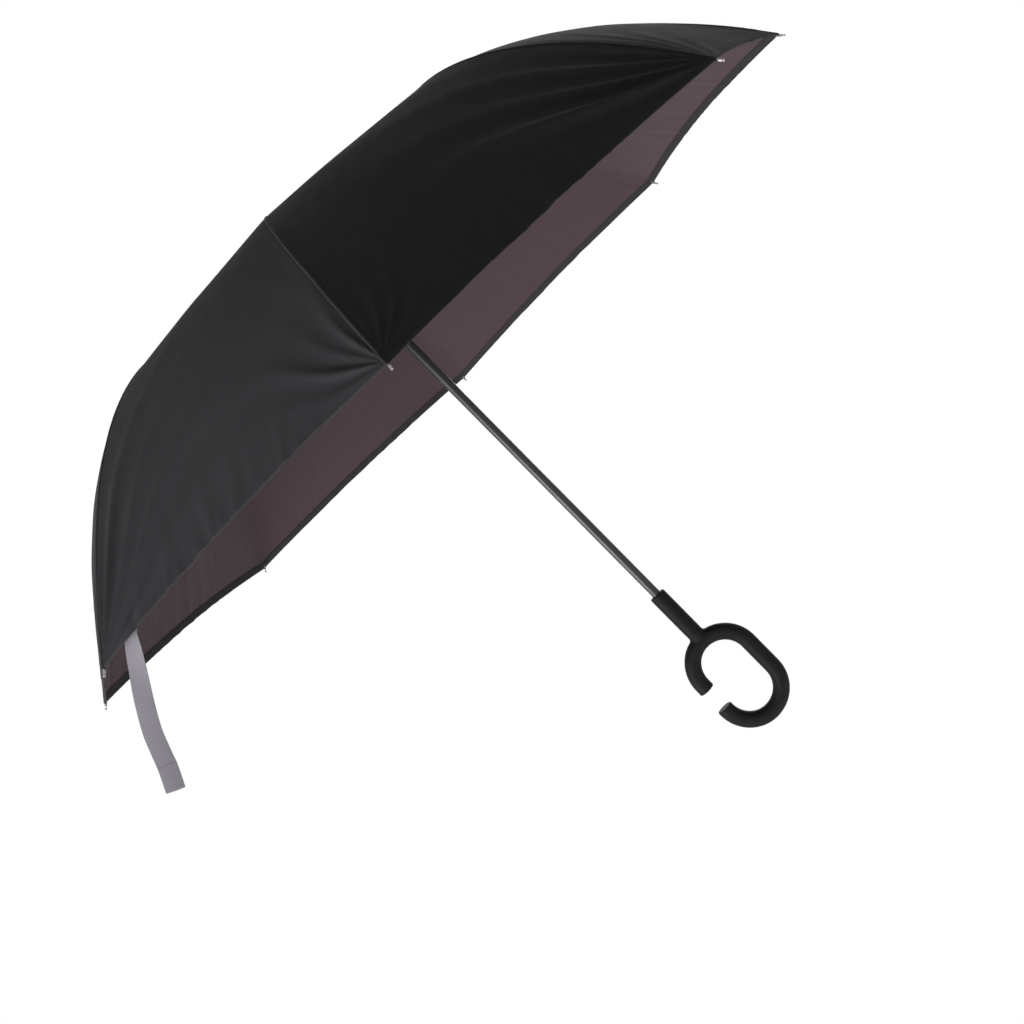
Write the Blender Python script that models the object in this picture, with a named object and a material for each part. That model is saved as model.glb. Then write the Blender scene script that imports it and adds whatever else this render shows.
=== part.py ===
"""Inverted umbrella: double eight-rib canopy that folds inside out, C-shaped grip and push-button runner.

Upright frame, metres: the shaft is the Z axis, the canopy is up, the grip hangs below.
The origin is on the shaft's axis, half way along the grip's straight neck.
A rib is built in its own plane, X outward and Y along its hinges, and is then turned about Z.
"""
import math

import bmesh
import bpy
from mathutils import Matrix, Vector

# Driving sizes: the frame's linkage
RIB_COUNT = 8
TIP_RADIUS = 0.530
ARM_LENGTH = 0.270
OPEN_ANGLE = math.radians(8.6)
CLOSED_ANGLE = math.radians(84.0)
CROWN_RISE = 0.232
PIVOT_RADIUS = 0.011
RUN_CLEARANCE = 0.0003
STOP_GAP = 0.0008

# Driving sizes: the shaft and the grip
SHAFT_RADIUS = 0.0053
SHAFT_WALL = 0.0007
NECK_LENGTH = 0.072
NECK_RADIUS = 0.0094
NECK_SOCKET_DEPTH = 0.056
NECK_EDGE = 0.0010
GRIP_RADIUS = 0.0091
GRIP_BEND_RADIUS = 0.037
GRIP_STRAIGHT = 0.0317
GRIP_MOUTH = 0.0274
GRIP_END_ROUND = 0.0022
GRIP_SINK = 0.0020
GRIP_FILLET = 0.0060
PIN_RADIUS = 0.0010
PIN_DROP_SHARE = 0.39

# Driving sizes: crown, runner and button
HUB_RADIUS = 0.014
HUB_TOP = 0.0020
HUB_BOTTOM = 0.0050
HUB_CORE_RADIUS = 0.0082
WIRE_RADIUS = 0.0006
WIRE_GROOVE = 0.0018
COLLAR_RADIUS = 0.0110
COLLAR_LENGTH = 0.0255
FLARE_LENGTH = 0.0146
COLLAR_EDGE = 0.0008
BUTTON_LENGTH = 0.0196
BUTTON_WIDTH = 0.0158
BUTTON_PROUD = 0.0010
BUTTON_TRAVEL = 0.0020
BUTTON_THICKNESS = 0.0036
POCKET_FLOOR = 0.0005
SPRING_LENGTH = 0.0090
SPRING_WIDTH = 0.0040
SPRING_STRIP = 0.0003
CATCH_LENGTH = 0.030
CATCH_WIDTH = 0.0020
CATCH_STRIP = 0.0008
CATCH_NOSE = 0.0055
CAP_RADIUS = 0.0115
CAP_HEIGHT = 0.0105
CAP_SOCKET = 0.0060
CAP_EDGE = 0.0020

# Driving sizes: steel arms, fibreglass rods and tips
BAR_WIDTH = 0.0034
BAR_HEIGHT = 0.0036
BAR_WEB = 0.0007
EYE_RADIUS = 0.0024
EYE_THICKNESS = 0.0020
TONGUE_LENGTH = 0.0080
FORK_LENGTH = 0.0150
FORK_BRIDGE = 0.0030
CHEEK = 0.0009
RIVET_RADIUS = 0.0009
RIVET_HEAD_RADIUS = 0.0017
RIVET_HEAD = 0.0006
CHANNEL_PAST_KNEE = 0.045
SOCKET_LENGTH = 0.010
SOCKET_RADIUS = 0.0022
ROD_RADIUS = 0.0015
TIP_PIN_RADIUS = 0.0008
TIP_BALL_RADIUS = 0.0013
TIP_REACH = 0.0090

# Driving sizes: the two fabric covers and the strap
CLOTH = 0.0008
CLOTH_RISE = 0.0036
CLOTH_PINCH = 0.0021
PINCH_LENGTH = 0.030
HEM_WIDTH = 0.0080
HEM_DEPTH = 0.0018
SCALLOP_DEPTH = 0.006
COVER_HOLE = 0.0070
LINING_HOLE = 0.0160
INNER_TIE_RADIUS = 0.240
OUTER_TIE_RADIUS = 0.360
LINING_SAG_SHARE = 0.03
BULGE_REACH_SHARE = 0.413
BULGE_HEIGHT_SHARE = 0.897
STRAP_WIDTH = 0.017
STRAP_SEWN = 0.0065
STRAP_OFFSET = 0.047
STRAP_HANG = 0.136
STRAP_TURN_UP = 0.020
STRAP_WAVE = 0.0022

# Places that follow from the sizes
HALF_SECTOR = math.pi / RIB_COUNT
SECTOR_TAN = math.tan(HALF_SECTOR)
SECTOR_SHARE = math.sin(HALF_SECTOR) * math.cos(HALF_SECTOR)
NECK_TOP = NECK_LENGTH / 2
RUNNER_TAIL = COLLAR_LENGTH + FLARE_LENGTH + HUB_BOTTOM
CROWN_Z = NECK_TOP + STOP_GAP + RUNNER_TAIL + 2 * ARM_LENGTH * math.sin(CLOSED_ANGLE)
RIM_Z = CROWN_Z - CROWN_RISE
KNEE_RADIUS = PIVOT_RADIUS + ARM_LENGTH * math.cos(OPEN_ANGLE)
KNEE_Z = CROWN_Z - ARM_LENGTH * math.sin(OPEN_ANGLE)
RUNNER_Z = CROWN_Z - 2 * ARM_LENGTH * math.sin(OPEN_ANGLE)
BORE_RADIUS = SHAFT_RADIUS + RUN_CLEARANCE
COVER_KNEE_Z = KNEE_Z + CLOTH_RISE / math.cos(OPEN_ANGLE)
GRIP_CENTRE_Z = GRIP_SINK - NECK_TOP - GRIP_RADIUS - GRIP_BEND_RADIUS - GRIP_STRAIGHT / 2
BUTTON_Z = RUNNER_Z - HUB_BOTTOM - FLARE_LENGTH - COLLAR_LENGTH / 2
CUT_OVERRUN = 0.004
PIN_DROP = NECK_SOCKET_DEPTH * PIN_DROP_SHARE


def clear_scene():
    for old in list(bpy.data.objects):
        bpy.data.objects.remove(old, do_unlink=True)


def finish(name, colour, roughness, metallic=0.0):
    material = bpy.data.materials.new(name)
    material.use_nodes = True
    shader = material.node_tree.nodes["Principled BSDF"]
    shader.inputs["Base Color"].default_value = (*colour, 1.0)
    shader.inputs["Roughness"].default_value = roughness
    shader.inputs["Metallic"].default_value = metallic
    return material


def solid(name, points, faces, material=None):
    """One closed solid with its faces turned outwards."""
    mesh = bpy.data.meshes.new(name)
    mesh.from_pydata([tuple(p) for p in points], [], faces)
    work = bmesh.new()
    work.from_mesh(mesh)
    bmesh.ops.recalc_face_normals(work, faces=work.faces[:])
    work.to_mesh(mesh)
    work.free()
    mesh.shade_smooth()
    mesh.set_sharp_from_angle(angle=math.radians(35))
    made = bpy.data.objects.new(name, mesh)
    bpy.context.collection.objects.link(made)
    if material:
        mesh.materials.append(material)
    return made


def lathe(name, outline, sides, material=None):
    """A ring-shaped solid: a closed outline of (radius, height) turned about Z."""
    points = []
    for step in range(sides):
        turn = 2 * math.pi * step / sides
        points += [(r * math.cos(turn), r * math.sin(turn), z) for r, z in outline]
    count = len(outline)
    faces = []
    for step in range(sides):
        here, there = step * count, (step + 1) % sides * count
        for i in range(count):
            j = (i + 1) % count
            faces.append((here + i, there + i, there + j, here + j))
    return solid(name, points, faces, material)


def sweep(name, path, radii, sides, material=None):
    """A round bar along a path of (x, z) points, with its own radius at each point."""
    points, faces = [], []
    last = len(path) - 1
    for i, (x, z) in enumerate(path):
        before, after = path[max(i - 1, 0)], path[min(i + 1, last)]
        along = Vector((after[0] - before[0], after[1] - before[1])).normalized()
        for step in range(sides):
            turn = 2 * math.pi * (step + 0.5) / sides
            out = radii[i] * math.cos(turn)
            points.append((x - along.y * out, radii[i] * math.sin(turn), z + along.x * out))
    for i in range(last):
        for step in range(sides):
            after = (step + 1) % sides
            faces.append((i * sides + step, i * sides + after, (i + 1) * sides + after, (i + 1) * sides + step))
    faces.append(tuple(range(sides)))
    faces.append(tuple(last * sides + step for step in range(sides)))
    return solid(name, points, faces, material)


def prism(name, outline, near, far, material=None):
    """An outline of (x, z) points carried from y = near to y = far."""
    count = len(outline)
    points = [(x, near, z) for x, z in outline] + [(x, far, z) for x, z in outline]
    faces = [tuple(range(count)), tuple(range(count, 2 * count))]
    for i in range(count):
        j = (i + 1) % count
        faces.append((i, j, count + j, count + i))
    return solid(name, points, faces, material)


def bar(name, low, high, material=None):
    """A plain block between two corners."""
    outline = [(low[0], low[2]), (high[0], low[2]), (high[0], high[2]), (low[0], high[2])]
    return prism(name, outline, low[1], high[1], material)


def disc(name, centre, radius, near, far, sides=14, material=None):
    """A round plate in a rib's plane, from y = near to y = far."""
    turns = [2 * math.pi * (step + 0.5) / sides for step in range(sides)]
    outline = [(centre[0] + radius * math.cos(t), centre[1] + radius * math.sin(t)) for t in turns]
    return prism(name, outline, near, far, material)


def combine(body, tool, operation):
    """Join a tool to a body, or cut it out, and drop the tool."""
    change = body.modifiers.new("change", "BOOLEAN")
    change.object = tool
    change.operation = operation
    change.solver = "EXACT"
    graph = bpy.context.evaluated_depsgraph_get()
    graph.update()
    made = bpy.data.meshes.new_from_object(body.evaluated_get(graph))
    body.modifiers.remove(change)
    body.data = made
    made.shade_smooth()
    made.set_sharp_from_angle(angle=math.radians(35))
    bpy.data.objects.remove(tool, do_unlink=True)
    return body


def join(body, *tools):
    for tool in tools:
        combine(body, tool, "UNION")
    return body


def cut(body, *tools):
    for tool in tools:
        combine(body, tool, "DIFFERENCE")
    return body


def arc(centre, radius, start, end, steps):
    """Points (x, z) along an arc, both ends included, angles in radians from +X."""
    angles = [start + (end - start) * i / steps for i in range(steps + 1)]
    return [(centre[0] + radius * math.cos(a), centre[1] + radius * math.sin(a)) for a in angles]


def pivot_frame(name, place, turn, parent=None):
    """An empty on a hinge's axis: its X points outward along the rib and its Y is the axis."""
    empty = bpy.data.objects.new(name, None)
    bpy.context.collection.objects.link(empty)
    world = Matrix.Rotation(turn, 4, "Z") @ Matrix.Translation((place[0], 0, place[1]))
    empty.parent = parent
    empty.matrix_world = world
    if parent:
        empty.matrix_local = parent.matrix_world.inverted() @ world
    bpy.context.view_layer.update()
    return empty


def cover_profile(s):
    """Height and slope of the black cover's middle surface where a rib's plane is s from the axis."""
    inner_slope = -math.tan(OPEN_ANGLE)
    if s <= KNEE_RADIUS:
        return COVER_KNEE_Z + inner_slope * (s - KNEE_RADIUS), inner_slope
    span = TIP_RADIUS - KNEE_RADIUS
    height = COVER_KNEE_Z - RIM_Z
    reach = KNEE_RADIUS + span * BULGE_REACH_SHARE
    lift = RIM_Z + height * BULGE_HEIGHT_SHARE
    a = KNEE_RADIUS - 2 * reach + TIP_RADIUS
    b = 2 * (reach - KNEE_RADIUS)
    c = KNEE_RADIUS - s
    t = (-b + math.sqrt(b * b - 4 * a * c)) / (2 * a)
    z = (1 - t) ** 2 * COVER_KNEE_Z + 2 * t * (1 - t) * lift + t * t * RIM_Z
    rise = 2 * (1 - t) * (lift - COVER_KNEE_Z) + 2 * t * (RIM_Z - lift)
    run = 2 * (1 - t) * (reach - KNEE_RADIUS) + 2 * t * (TIP_RADIUS - reach)
    return z, rise / run


def cover_spacing(s):
    """Distance from the cover's middle surface in to the rib's centreline, pinched near the tip."""
    share = min(max((TIP_RADIUS - s) / PINCH_LENGTH, 0.0), 1.0)
    return CLOTH_PINCH + (CLOTH_RISE - CLOTH_PINCH) * share


def under_cover(s, depth):
    """The point (s, z) that lies depth inside the cover's middle surface, square to it."""
    z, slope = cover_profile(s)
    size = math.hypot(1, slope)
    return s + slope * depth / size, z - depth / size


def rib_line(s):
    return under_cover(s, cover_spacing(s))


def lining_marks():
    """Where the lining's middle is held in a rib's plane: at the hub, at its two ties and inside the hem."""
    gap = CLOTH_RISE / math.cos(OPEN_ANGLE)
    marks = []
    for s in (LINING_HOLE, INNER_TIE_RADIUS):
        marks.append((s, RUNNER_Z + math.tan(OPEN_ANGLE) * (s - PIVOT_RADIUS) - gap))
    edge = TIP_RADIUS - HEM_WIDTH - CLOTH
    for s in (OUTER_TIE_RADIUS, edge):
        marks.append(under_cover(s, 2 * cover_spacing(s)))
    return marks


def lining_mid(s):
    """The lining's middle surface: straight from each mark to the next, and on past the last one."""
    marks = lining_marks()
    leg = 0
    while leg < len(marks) - 2 and s >= marks[leg + 1][0]:
        leg += 1
    near, far = marks[leg], marks[leg + 1]
    return s, near[1] + (far[1] - near[1]) * (s - near[0]) / (far[0] - near[0])


def sector_place(s, z, u):
    """A point of a rib's sector: u runs from -1 to 1 between the middles of its two gores."""
    across = u * (s * SECTOR_SHARE - RUN_CLEARANCE / 2)
    return s - abs(across) * SECTOR_TAN, across, z


def rim_at(u):
    """The scalloped rim: at a rib it reaches the tip, between two ribs it is drawn in."""
    return TIP_RADIUS - SCALLOP_DEPTH * abs(u) * (2 - abs(u))


def cloth_solid(name, top, bottom, material):
    """A closed sheet between two grids of points with the same rows and columns."""
    rows, columns = len(top), len(top[0])
    points = [p for row in top for p in row] + [p for row in bottom for p in row]
    half = rows * columns
    faces = []
    for i in range(rows - 1):
        for j in range(columns - 1):
            a, b = i * columns + j, (i + 1) * columns + j
            faces.append((a, a + 1, b + 1, b))
            faces.append((half + a, half + b, half + b + 1, half + a + 1))
    edge = [j for j in range(columns)]
    edge += [i * columns + columns - 1 for i in range(1, rows)]
    edge += [(rows - 1) * columns + j for j in range(columns - 2, -1, -1)]
    edge += [i * columns for i in range(rows - 2, 0, -1)]
    for i, a in enumerate(edge):
        b = edge[(i + 1) % len(edge)]
        faces.append((a, half + a, half + b, b))
    return solid(name, points, faces, material)


def sheet_rows(middle, stations, thickness):
    """Top and bottom grids of a sheet whose stations give (s, u, extra depth below) in each row."""
    top, bottom = [], []
    for row in stations:
        upper, lower = [], []
        for s, u, extra in row:
            here, ahead = middle(s), middle(s + RUN_CLEARANCE)
            run, rise = ahead[0] - here[0], ahead[1] - here[1]
            size = math.hypot(run, rise)
            half = thickness / 2
            upper.append(sector_place(here[0] - rise / size * half, here[1] + run / size * half, u))
            low = half + extra
            lower.append(sector_place(here[0] + rise / size * low, here[1] - run / size * low, u))
        top.append(upper)
        bottom.append(lower)
    return top, bottom


def shaft_tube(steel):
    """The black tube from the grip's neck to the cap, with the catch's window and the pin's hole."""
    top = CROWN_Z + CLOTH_RISE + CAP_SOCKET
    bottom = NECK_TOP - NECK_SOCKET_DEPTH + RUN_CLEARANCE
    inner = SHAFT_RADIUS - SHAFT_WALL
    outline = [(inner, bottom), (SHAFT_RADIUS, bottom), (SHAFT_RADIUS, top), (inner, top)]
    tube = lathe("shaft", outline, 28, steel)
    half_y = CATCH_WIDTH / 2 + RUN_CLEARANCE
    low, high = nose_span()
    window = bar(
        "window",
        (0, -half_y, low - RUN_CLEARANCE),
        (SHAFT_RADIUS + CUT_OVERRUN, half_y, high + RUN_CLEARANCE),
    )
    return cut(tube, window, pin_hole())


def nose_span():
    """Heights between which the catch's nose stands out of the shaft, under the button's upper half."""
    middle = BUTTON_Z + BUTTON_LENGTH / 4
    return middle - CATCH_NOSE / 2, middle + CATCH_NOSE / 2


def pin_hole():
    reach = NECK_RADIUS + CUT_OVERRUN
    return disc("hole", (0, NECK_TOP - PIN_DROP), PIN_RADIUS + RUN_CLEARANCE, -reach, reach)


def grip_path():
    """The C's centreline from its upper end, over the top, down the straight back and round below."""
    half = GRIP_STRAIGHT / 2
    upper, lower = GRIP_CENTRE_Z + half, GRIP_CENTRE_Z - half
    left = -GRIP_BEND_RADIUS
    top = arc((0, upper), GRIP_BEND_RADIUS, math.pi, 0, 16)
    bottom = arc((0, lower), GRIP_BEND_RADIUS, 0, -math.pi, 16)
    ends = GRIP_MOUTH / 2
    first, last = (left, GRIP_CENTRE_Z + ends), (left, GRIP_CENTRE_Z - ends)
    return [first, (left, first[1] + GRIP_END_ROUND)] + top[1:] + bottom[:-1] + [
        (left, last[1] - GRIP_END_ROUND),
        last,
    ]


def grip(rubber):
    """The rubber-coated C and its straight neck: one moulding with a socket for the shaft."""
    path = grip_path()
    inset = GRIP_RADIUS - GRIP_END_ROUND * 0.6
    radii = [inset] + [GRIP_RADIUS] * (len(path) - 2) + [inset]
    loop = sweep("handle", path, radii, 16, rubber)
    low = GRIP_CENTRE_Z + GRIP_STRAIGHT / 2 + GRIP_BEND_RADIUS
    shoulder = low + GRIP_RADIUS
    flare = arc(
        (NECK_RADIUS + GRIP_FILLET, shoulder + GRIP_FILLET / 2),
        GRIP_FILLET,
        math.pi,
        1.42 * math.pi,
        5,
    )
    skirt = turned("skirt", [(0, flare[0][1])] + flare + [(flare[-1][0], low), (0, low)], 20)
    bore = turned(
        "bore",
        [(0, NECK_TOP + CUT_OVERRUN), (BORE_RADIUS, NECK_TOP + CUT_OVERRUN),
         (BORE_RADIUS, NECK_TOP - NECK_SOCKET_DEPTH), (0, NECK_TOP - NECK_SOCKET_DEPTH)],
        20,
    )
    edge = NECK_RADIUS - NECK_EDGE
    rim = [(NECK_RADIUS, NECK_TOP - NECK_EDGE), (edge, NECK_TOP)]
    neck = turned("neck", [(0, low), (NECK_RADIUS, low)] + rim + [(0, NECK_TOP)], 20)
    return cut(join(loop, neck, skirt), bore, pin_hole())


def turned(name, outline, sides, material=None):
    """A solid of revolution whose outline starts and ends on the axis."""
    inner = outline[1:-1]
    count = len(inner)
    points = [(0, 0, outline[0][1]), (0, 0, outline[-1][1])]
    for step in range(sides):
        turn = 2 * math.pi * step / sides
        points += [(r * math.cos(turn), r * math.sin(turn), z) for r, z in inner]
    faces = []
    for step in range(sides):
        here, there = 2 + step * count, 2 + (step + 1) % sides * count
        faces.append((0, there, here))
        faces.append((1, here + count - 1, there + count - 1))
        for i in range(count - 1):
            faces.append((here + i, there + i, there + i + 1, here + i + 1))
    return solid(name, points, faces, material)


def cross_pin(steel):
    """The steel pin that holds the grip on the shaft."""
    reach = NECK_RADIUS - NECK_EDGE
    return disc("grip_pin", (0, NECK_TOP - PIN_DROP), PIN_RADIUS, -reach, reach, 12, steel)


def hub_outline(top, bottom, middle):
    """Half section of a notched hub: the ring wire lies in the groove at its middle height."""
    groove = WIRE_GROOVE / 2
    floor = PIVOT_RADIUS - groove
    edge = COLLAR_EDGE
    return [
        (BORE_RADIUS, middle - bottom),
        (HUB_RADIUS - edge, middle - bottom),
        (HUB_RADIUS, middle - bottom + edge),
        (HUB_RADIUS, middle - groove),
        (floor, middle - groove),
        (floor, middle + groove),
        (HUB_RADIUS, middle + groove),
        (HUB_RADIUS - edge / 2, middle + top),
        (BORE_RADIUS, middle + top),
    ]


def rib_turn(number):
    """Angle about Z of a rib: rib 1 points at -Y and the numbers run anticlockwise from above."""
    return -math.pi / 2 + 2 * math.pi * (number - 1) / RIB_COUNT


def cut_notches(hub, top, bottom, middle):
    """The radial slots that the arms' eyes turn in."""
    half = EYE_THICKNESS / 2 + RUN_CLEARANCE
    for number in range(1, RIB_COUNT + 1):
        notch = bar(
            "notch",
            (HUB_CORE_RADIUS, -half, middle - bottom),
            (HUB_RADIUS + CUT_OVERRUN, half, middle + top),
        )
        notch.data.transform(Matrix.Rotation(rib_turn(number), 4, "Z"))
        cut(hub, notch)
    return hub


def crown(plastic):
    """The notched hub fixed at the top of the shaft."""
    hub = lathe("crown", hub_outline(HUB_TOP, HUB_BOTTOM, CROWN_Z), 40, plastic)
    return cut_notches(hub, HUB_TOP + CUT_OVERRUN, HUB_BOTTOM + CUT_OVERRUN, CROWN_Z)


def wire_ring(name, middle, steel):
    """The wire threaded through the eyes of all the arms and closed in the hub's groove."""
    outline = arc((PIVOT_RADIUS, middle), WIRE_RADIUS, 0, 2 * math.pi, 6)[:-1]
    return lathe(name, outline, 40, steel)


def runner(plastic):
    """The sliding hub, flared down to the collar whose pocket holds the release button."""
    hub_low = RUNNER_Z - HUB_BOTTOM
    collar_top = hub_low - FLARE_LENGTH
    low = collar_top - COLLAR_LENGTH
    waist = collar_top + FLARE_LENGTH / 3
    outline = [
        (BORE_RADIUS, low),
        (COLLAR_RADIUS - COLLAR_EDGE, low),
        (COLLAR_RADIUS, low + COLLAR_EDGE),
        (COLLAR_RADIUS, collar_top),
        (COLLAR_RADIUS + COLLAR_EDGE, waist),
    ] + hub_outline(HUB_BOTTOM, HUB_BOTTOM, RUNNER_Z)[1:]
    body = lathe("runner", outline, 40, plastic)
    reach = HUB_BOTTOM + CUT_OVERRUN
    cut_notches(body, reach, EYE_RADIUS + RUN_CLEARANCE, RUNNER_Z)
    floor = BORE_RADIUS + POCKET_FLOOR
    half_y = BUTTON_WIDTH / 2 + RUN_CLEARANCE
    half_z = BUTTON_LENGTH / 2 + RUN_CLEARANCE
    pocket = bar(
        "pocket",
        (floor, -half_y, BUTTON_Z - half_z),
        (COLLAR_RADIUS + CUT_OVERRUN, half_y, BUTTON_Z + half_z),
    )
    nose_half = CATCH_WIDTH / 2 + RUN_CLEARANCE
    nose_low, nose_high = nose_span()
    window = bar(
        "window",
        (SHAFT_RADIUS / 2, -nose_half, nose_low - RUN_CLEARANCE),
        (floor + RUN_CLEARANCE, nose_half, nose_high + RUN_CLEARANCE),
    )
    return cut(body, pocket, window)


def release_button(red):
    """The red push button: a block with a face curved a little prouder than the collar."""
    face = COLLAR_RADIUS + BUTTON_PROUD
    back = face - BUTTON_THICKNESS
    reach = math.asin(BUTTON_WIDTH / 2 / face)
    outline = arc((0, 0), face, -reach, reach, 8) + [(back, BUTTON_WIDTH / 2), (back, -BUTTON_WIDTH / 2)]
    half = BUTTON_LENGTH / 2
    block = prism("release_button", outline, BUTTON_Z - half, BUTTON_Z + half, red)
    block.data.transform(Matrix.Rotation(math.pi / 2, 4, "X"))
    return block


def button_spring(steel):
    """The bent strip behind the button's lower half that pushes it out again."""
    low = BORE_RADIUS + POCKET_FLOOR + RUN_CLEARANCE
    high = COLLAR_RADIUS + BUTTON_PROUD - BUTTON_THICKNESS - RUN_CLEARANCE
    middle = BUTTON_Z - BUTTON_LENGTH / 4
    steps = 8
    outer, inner = [], []
    for i in range(steps + 1):
        share = 2 * i / steps - 1
        z = middle + SPRING_LENGTH / 2 * share
        x = low + SPRING_STRIP + (high - low - SPRING_STRIP) * math.cos(share * math.pi / 2)
        outer.append((x, z))
        inner.append((x - SPRING_STRIP, z))
    half = SPRING_WIDTH / 2
    return prism("button_spring", outer + inner[::-1], -half, half, steel)


def shaft_catch(steel):
    """The spring strip inside the shaft whose nose stands out under the button and holds the runner up."""
    inner = SHAFT_RADIUS - SHAFT_WALL - RUN_CLEARANCE
    back = inner - CATCH_STRIP
    nose = COLLAR_RADIUS + BUTTON_PROUD - BUTTON_THICKNESS - BUTTON_TRAVEL / 2
    low, high = nose_span()
    start = high - CATCH_LENGTH
    slant = (high - low) / 2
    outline = [
        (back, start), (inner, start), (inner, low), (nose, low + slant),
        (nose, high), (inner, high), (inner, high + slant), (back, high + slant),
    ]
    edge_share = 0.8
    half = CATCH_WIDTH / 2
    drop = 1 - edge_share
    outline[0] = (back - drop * inner, start)
    outline[1] = (inner - drop * inner, start)
    return prism("shaft_catch", outline, -half, half, steel)


def top_cap(plastic):
    """The low round cap that clamps the black cover on the crown."""
    rise = CLOTH_RISE + CLOTH / 2 + RUN_CLEARANCE
    slope = math.tan(OPEN_ANGLE)
    up = rise / math.cos(OPEN_ANGLE)

    def seat(r):
        return CROWN_Z - slope * (r - PIVOT_RADIUS) + up

    top = CROWN_Z + up + CAP_HEIGHT
    shoulder = arc((CAP_RADIUS - CAP_EDGE, top - CAP_EDGE), CAP_EDGE, 0, math.pi / 2, 4)
    hollow = CROWN_Z + CLOTH_RISE + CAP_SOCKET + RUN_CLEARANCE
    outline = [(0, top)] + shoulder[::-1] + [
        (CAP_RADIUS, seat(CAP_RADIUS)),
        (BORE_RADIUS, seat(BORE_RADIUS)),
        (BORE_RADIUS, hollow),
        (0, hollow),
    ]
    return turned("top_cap", outline, 28, plastic)


def eye_and_tongue(name, centre, material):
    """The flat ring at an arm's inner end and the tongue that joins it to the channel."""
    half = EYE_THICKNESS / 2
    ring = disc(name, centre, EYE_RADIUS, -half, half, 16, material)
    tongue = bar(
        "tongue",
        (centre[0] + EYE_RADIUS * 0.6, -half, centre[1] - BAR_HEIGHT * 0.42),
        (centre[0] + TONGUE_LENGTH + BAR_WIDTH, half, centre[1] + BAR_HEIGHT * 0.42),
    )
    return join(ring, tongue)


def wire_hole(centre):
    reach = EYE_THICKNESS
    return disc("hole", centre, WIRE_RADIUS + RUN_CLEARANCE, -reach, reach, 10)


def stretcher(steel):
    """The upper arm, from the crown's wire to the rivet at the knee, built level from x = 0."""
    half_w, half_h = BAR_WIDTH / 2, BAR_HEIGHT / 2
    fork_start = ARM_LENGTH - FORK_LENGTH
    bridge = fork_start - FORK_BRIDGE
    inner = half_w + RUN_CLEARANCE
    outer = inner + CHEEK
    arm = eye_and_tongue("stretcher", (0, 0), steel)
    channel = bar("channel", (TONGUE_LENGTH, -half_w, -half_h), (bridge + FORK_BRIDGE / 2, half_w, half_h))
    yoke = bar("yoke", (bridge, -outer, -half_h), (ARM_LENGTH, outer, half_h))
    boss = disc("boss", (ARM_LENGTH, 0), EYE_RADIUS, -outer, outer, 14)
    gap = bar(
        "gap",
        (fork_start, -inner, -half_h - CUT_OVERRUN),
        (ARM_LENGTH + EYE_RADIUS + CUT_OVERRUN, inner, half_h + CUT_OVERRUN),
    )
    hollow = bar(
        "hollow",
        (TONGUE_LENGTH + BAR_WIDTH * 1.5, BAR_WEB - half_w, -half_h - CUT_OVERRUN),
        (bridge - BAR_WIDTH, half_w - BAR_WEB, half_h - BAR_WEB),
    )
    end = outer + RIVET_HEAD
    rivet = disc("rivet", (ARM_LENGTH, 0), RIVET_RADIUS, -outer, outer, 10)
    heads = [
        disc("head", (ARM_LENGTH, 0), RIVET_HEAD_RADIUS, side * outer, side * end, 10)
        for side in (-1, 1)
    ]
    for head in heads:
        spread = outer - CHEEK / 2
        for vertex in head.data.vertices:
            if abs(vertex.co.y) < end - RIVET_HEAD / 2:
                vertex.co.y = math.copysign(spread, vertex.co.y)
    join(arm, channel, yoke, boss)
    cut(arm, gap, hollow, wire_hole((0, 0)))
    join(arm, rivet, *heads)
    arm.data.transform(Matrix.Rotation(OPEN_ANGLE, 4, "Y"))
    arm.data.transform(Matrix.Translation((PIVOT_RADIUS, 0, CROWN_Z)))
    return arm


def channel_line():
    """The rib's centreline past the knee as far as the rod's socket."""
    steps = 3
    stations = [KNEE_RADIUS + CHANNEL_PAST_KNEE * (i + 1) / steps for i in range(steps)]
    return [rib_line(s) for s in stations]


def offset_line(line, distance):
    """A line of (x, z) points moved square to itself."""
    moved = []
    for i, point in enumerate(line):
        before, after = line[max(i - 1, 0)], line[min(i + 1, len(line) - 1)]
        size = math.hypot(after[0] - before[0], after[1] - before[1])
        along = (after[0] - before[0]) / size, (after[1] - before[1]) / size
        moved.append((point[0] - along[1] * distance, point[1] + along[0] * distance))
    return moved


def between(first, second, distance):
    """The point at a distance from the first point towards the second."""
    size = math.hypot(second[0] - first[0], second[1] - first[1])
    share = distance / size
    return first[0] + (second[0] - first[0]) * share, first[1] + (second[1] - first[1]) * share


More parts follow.
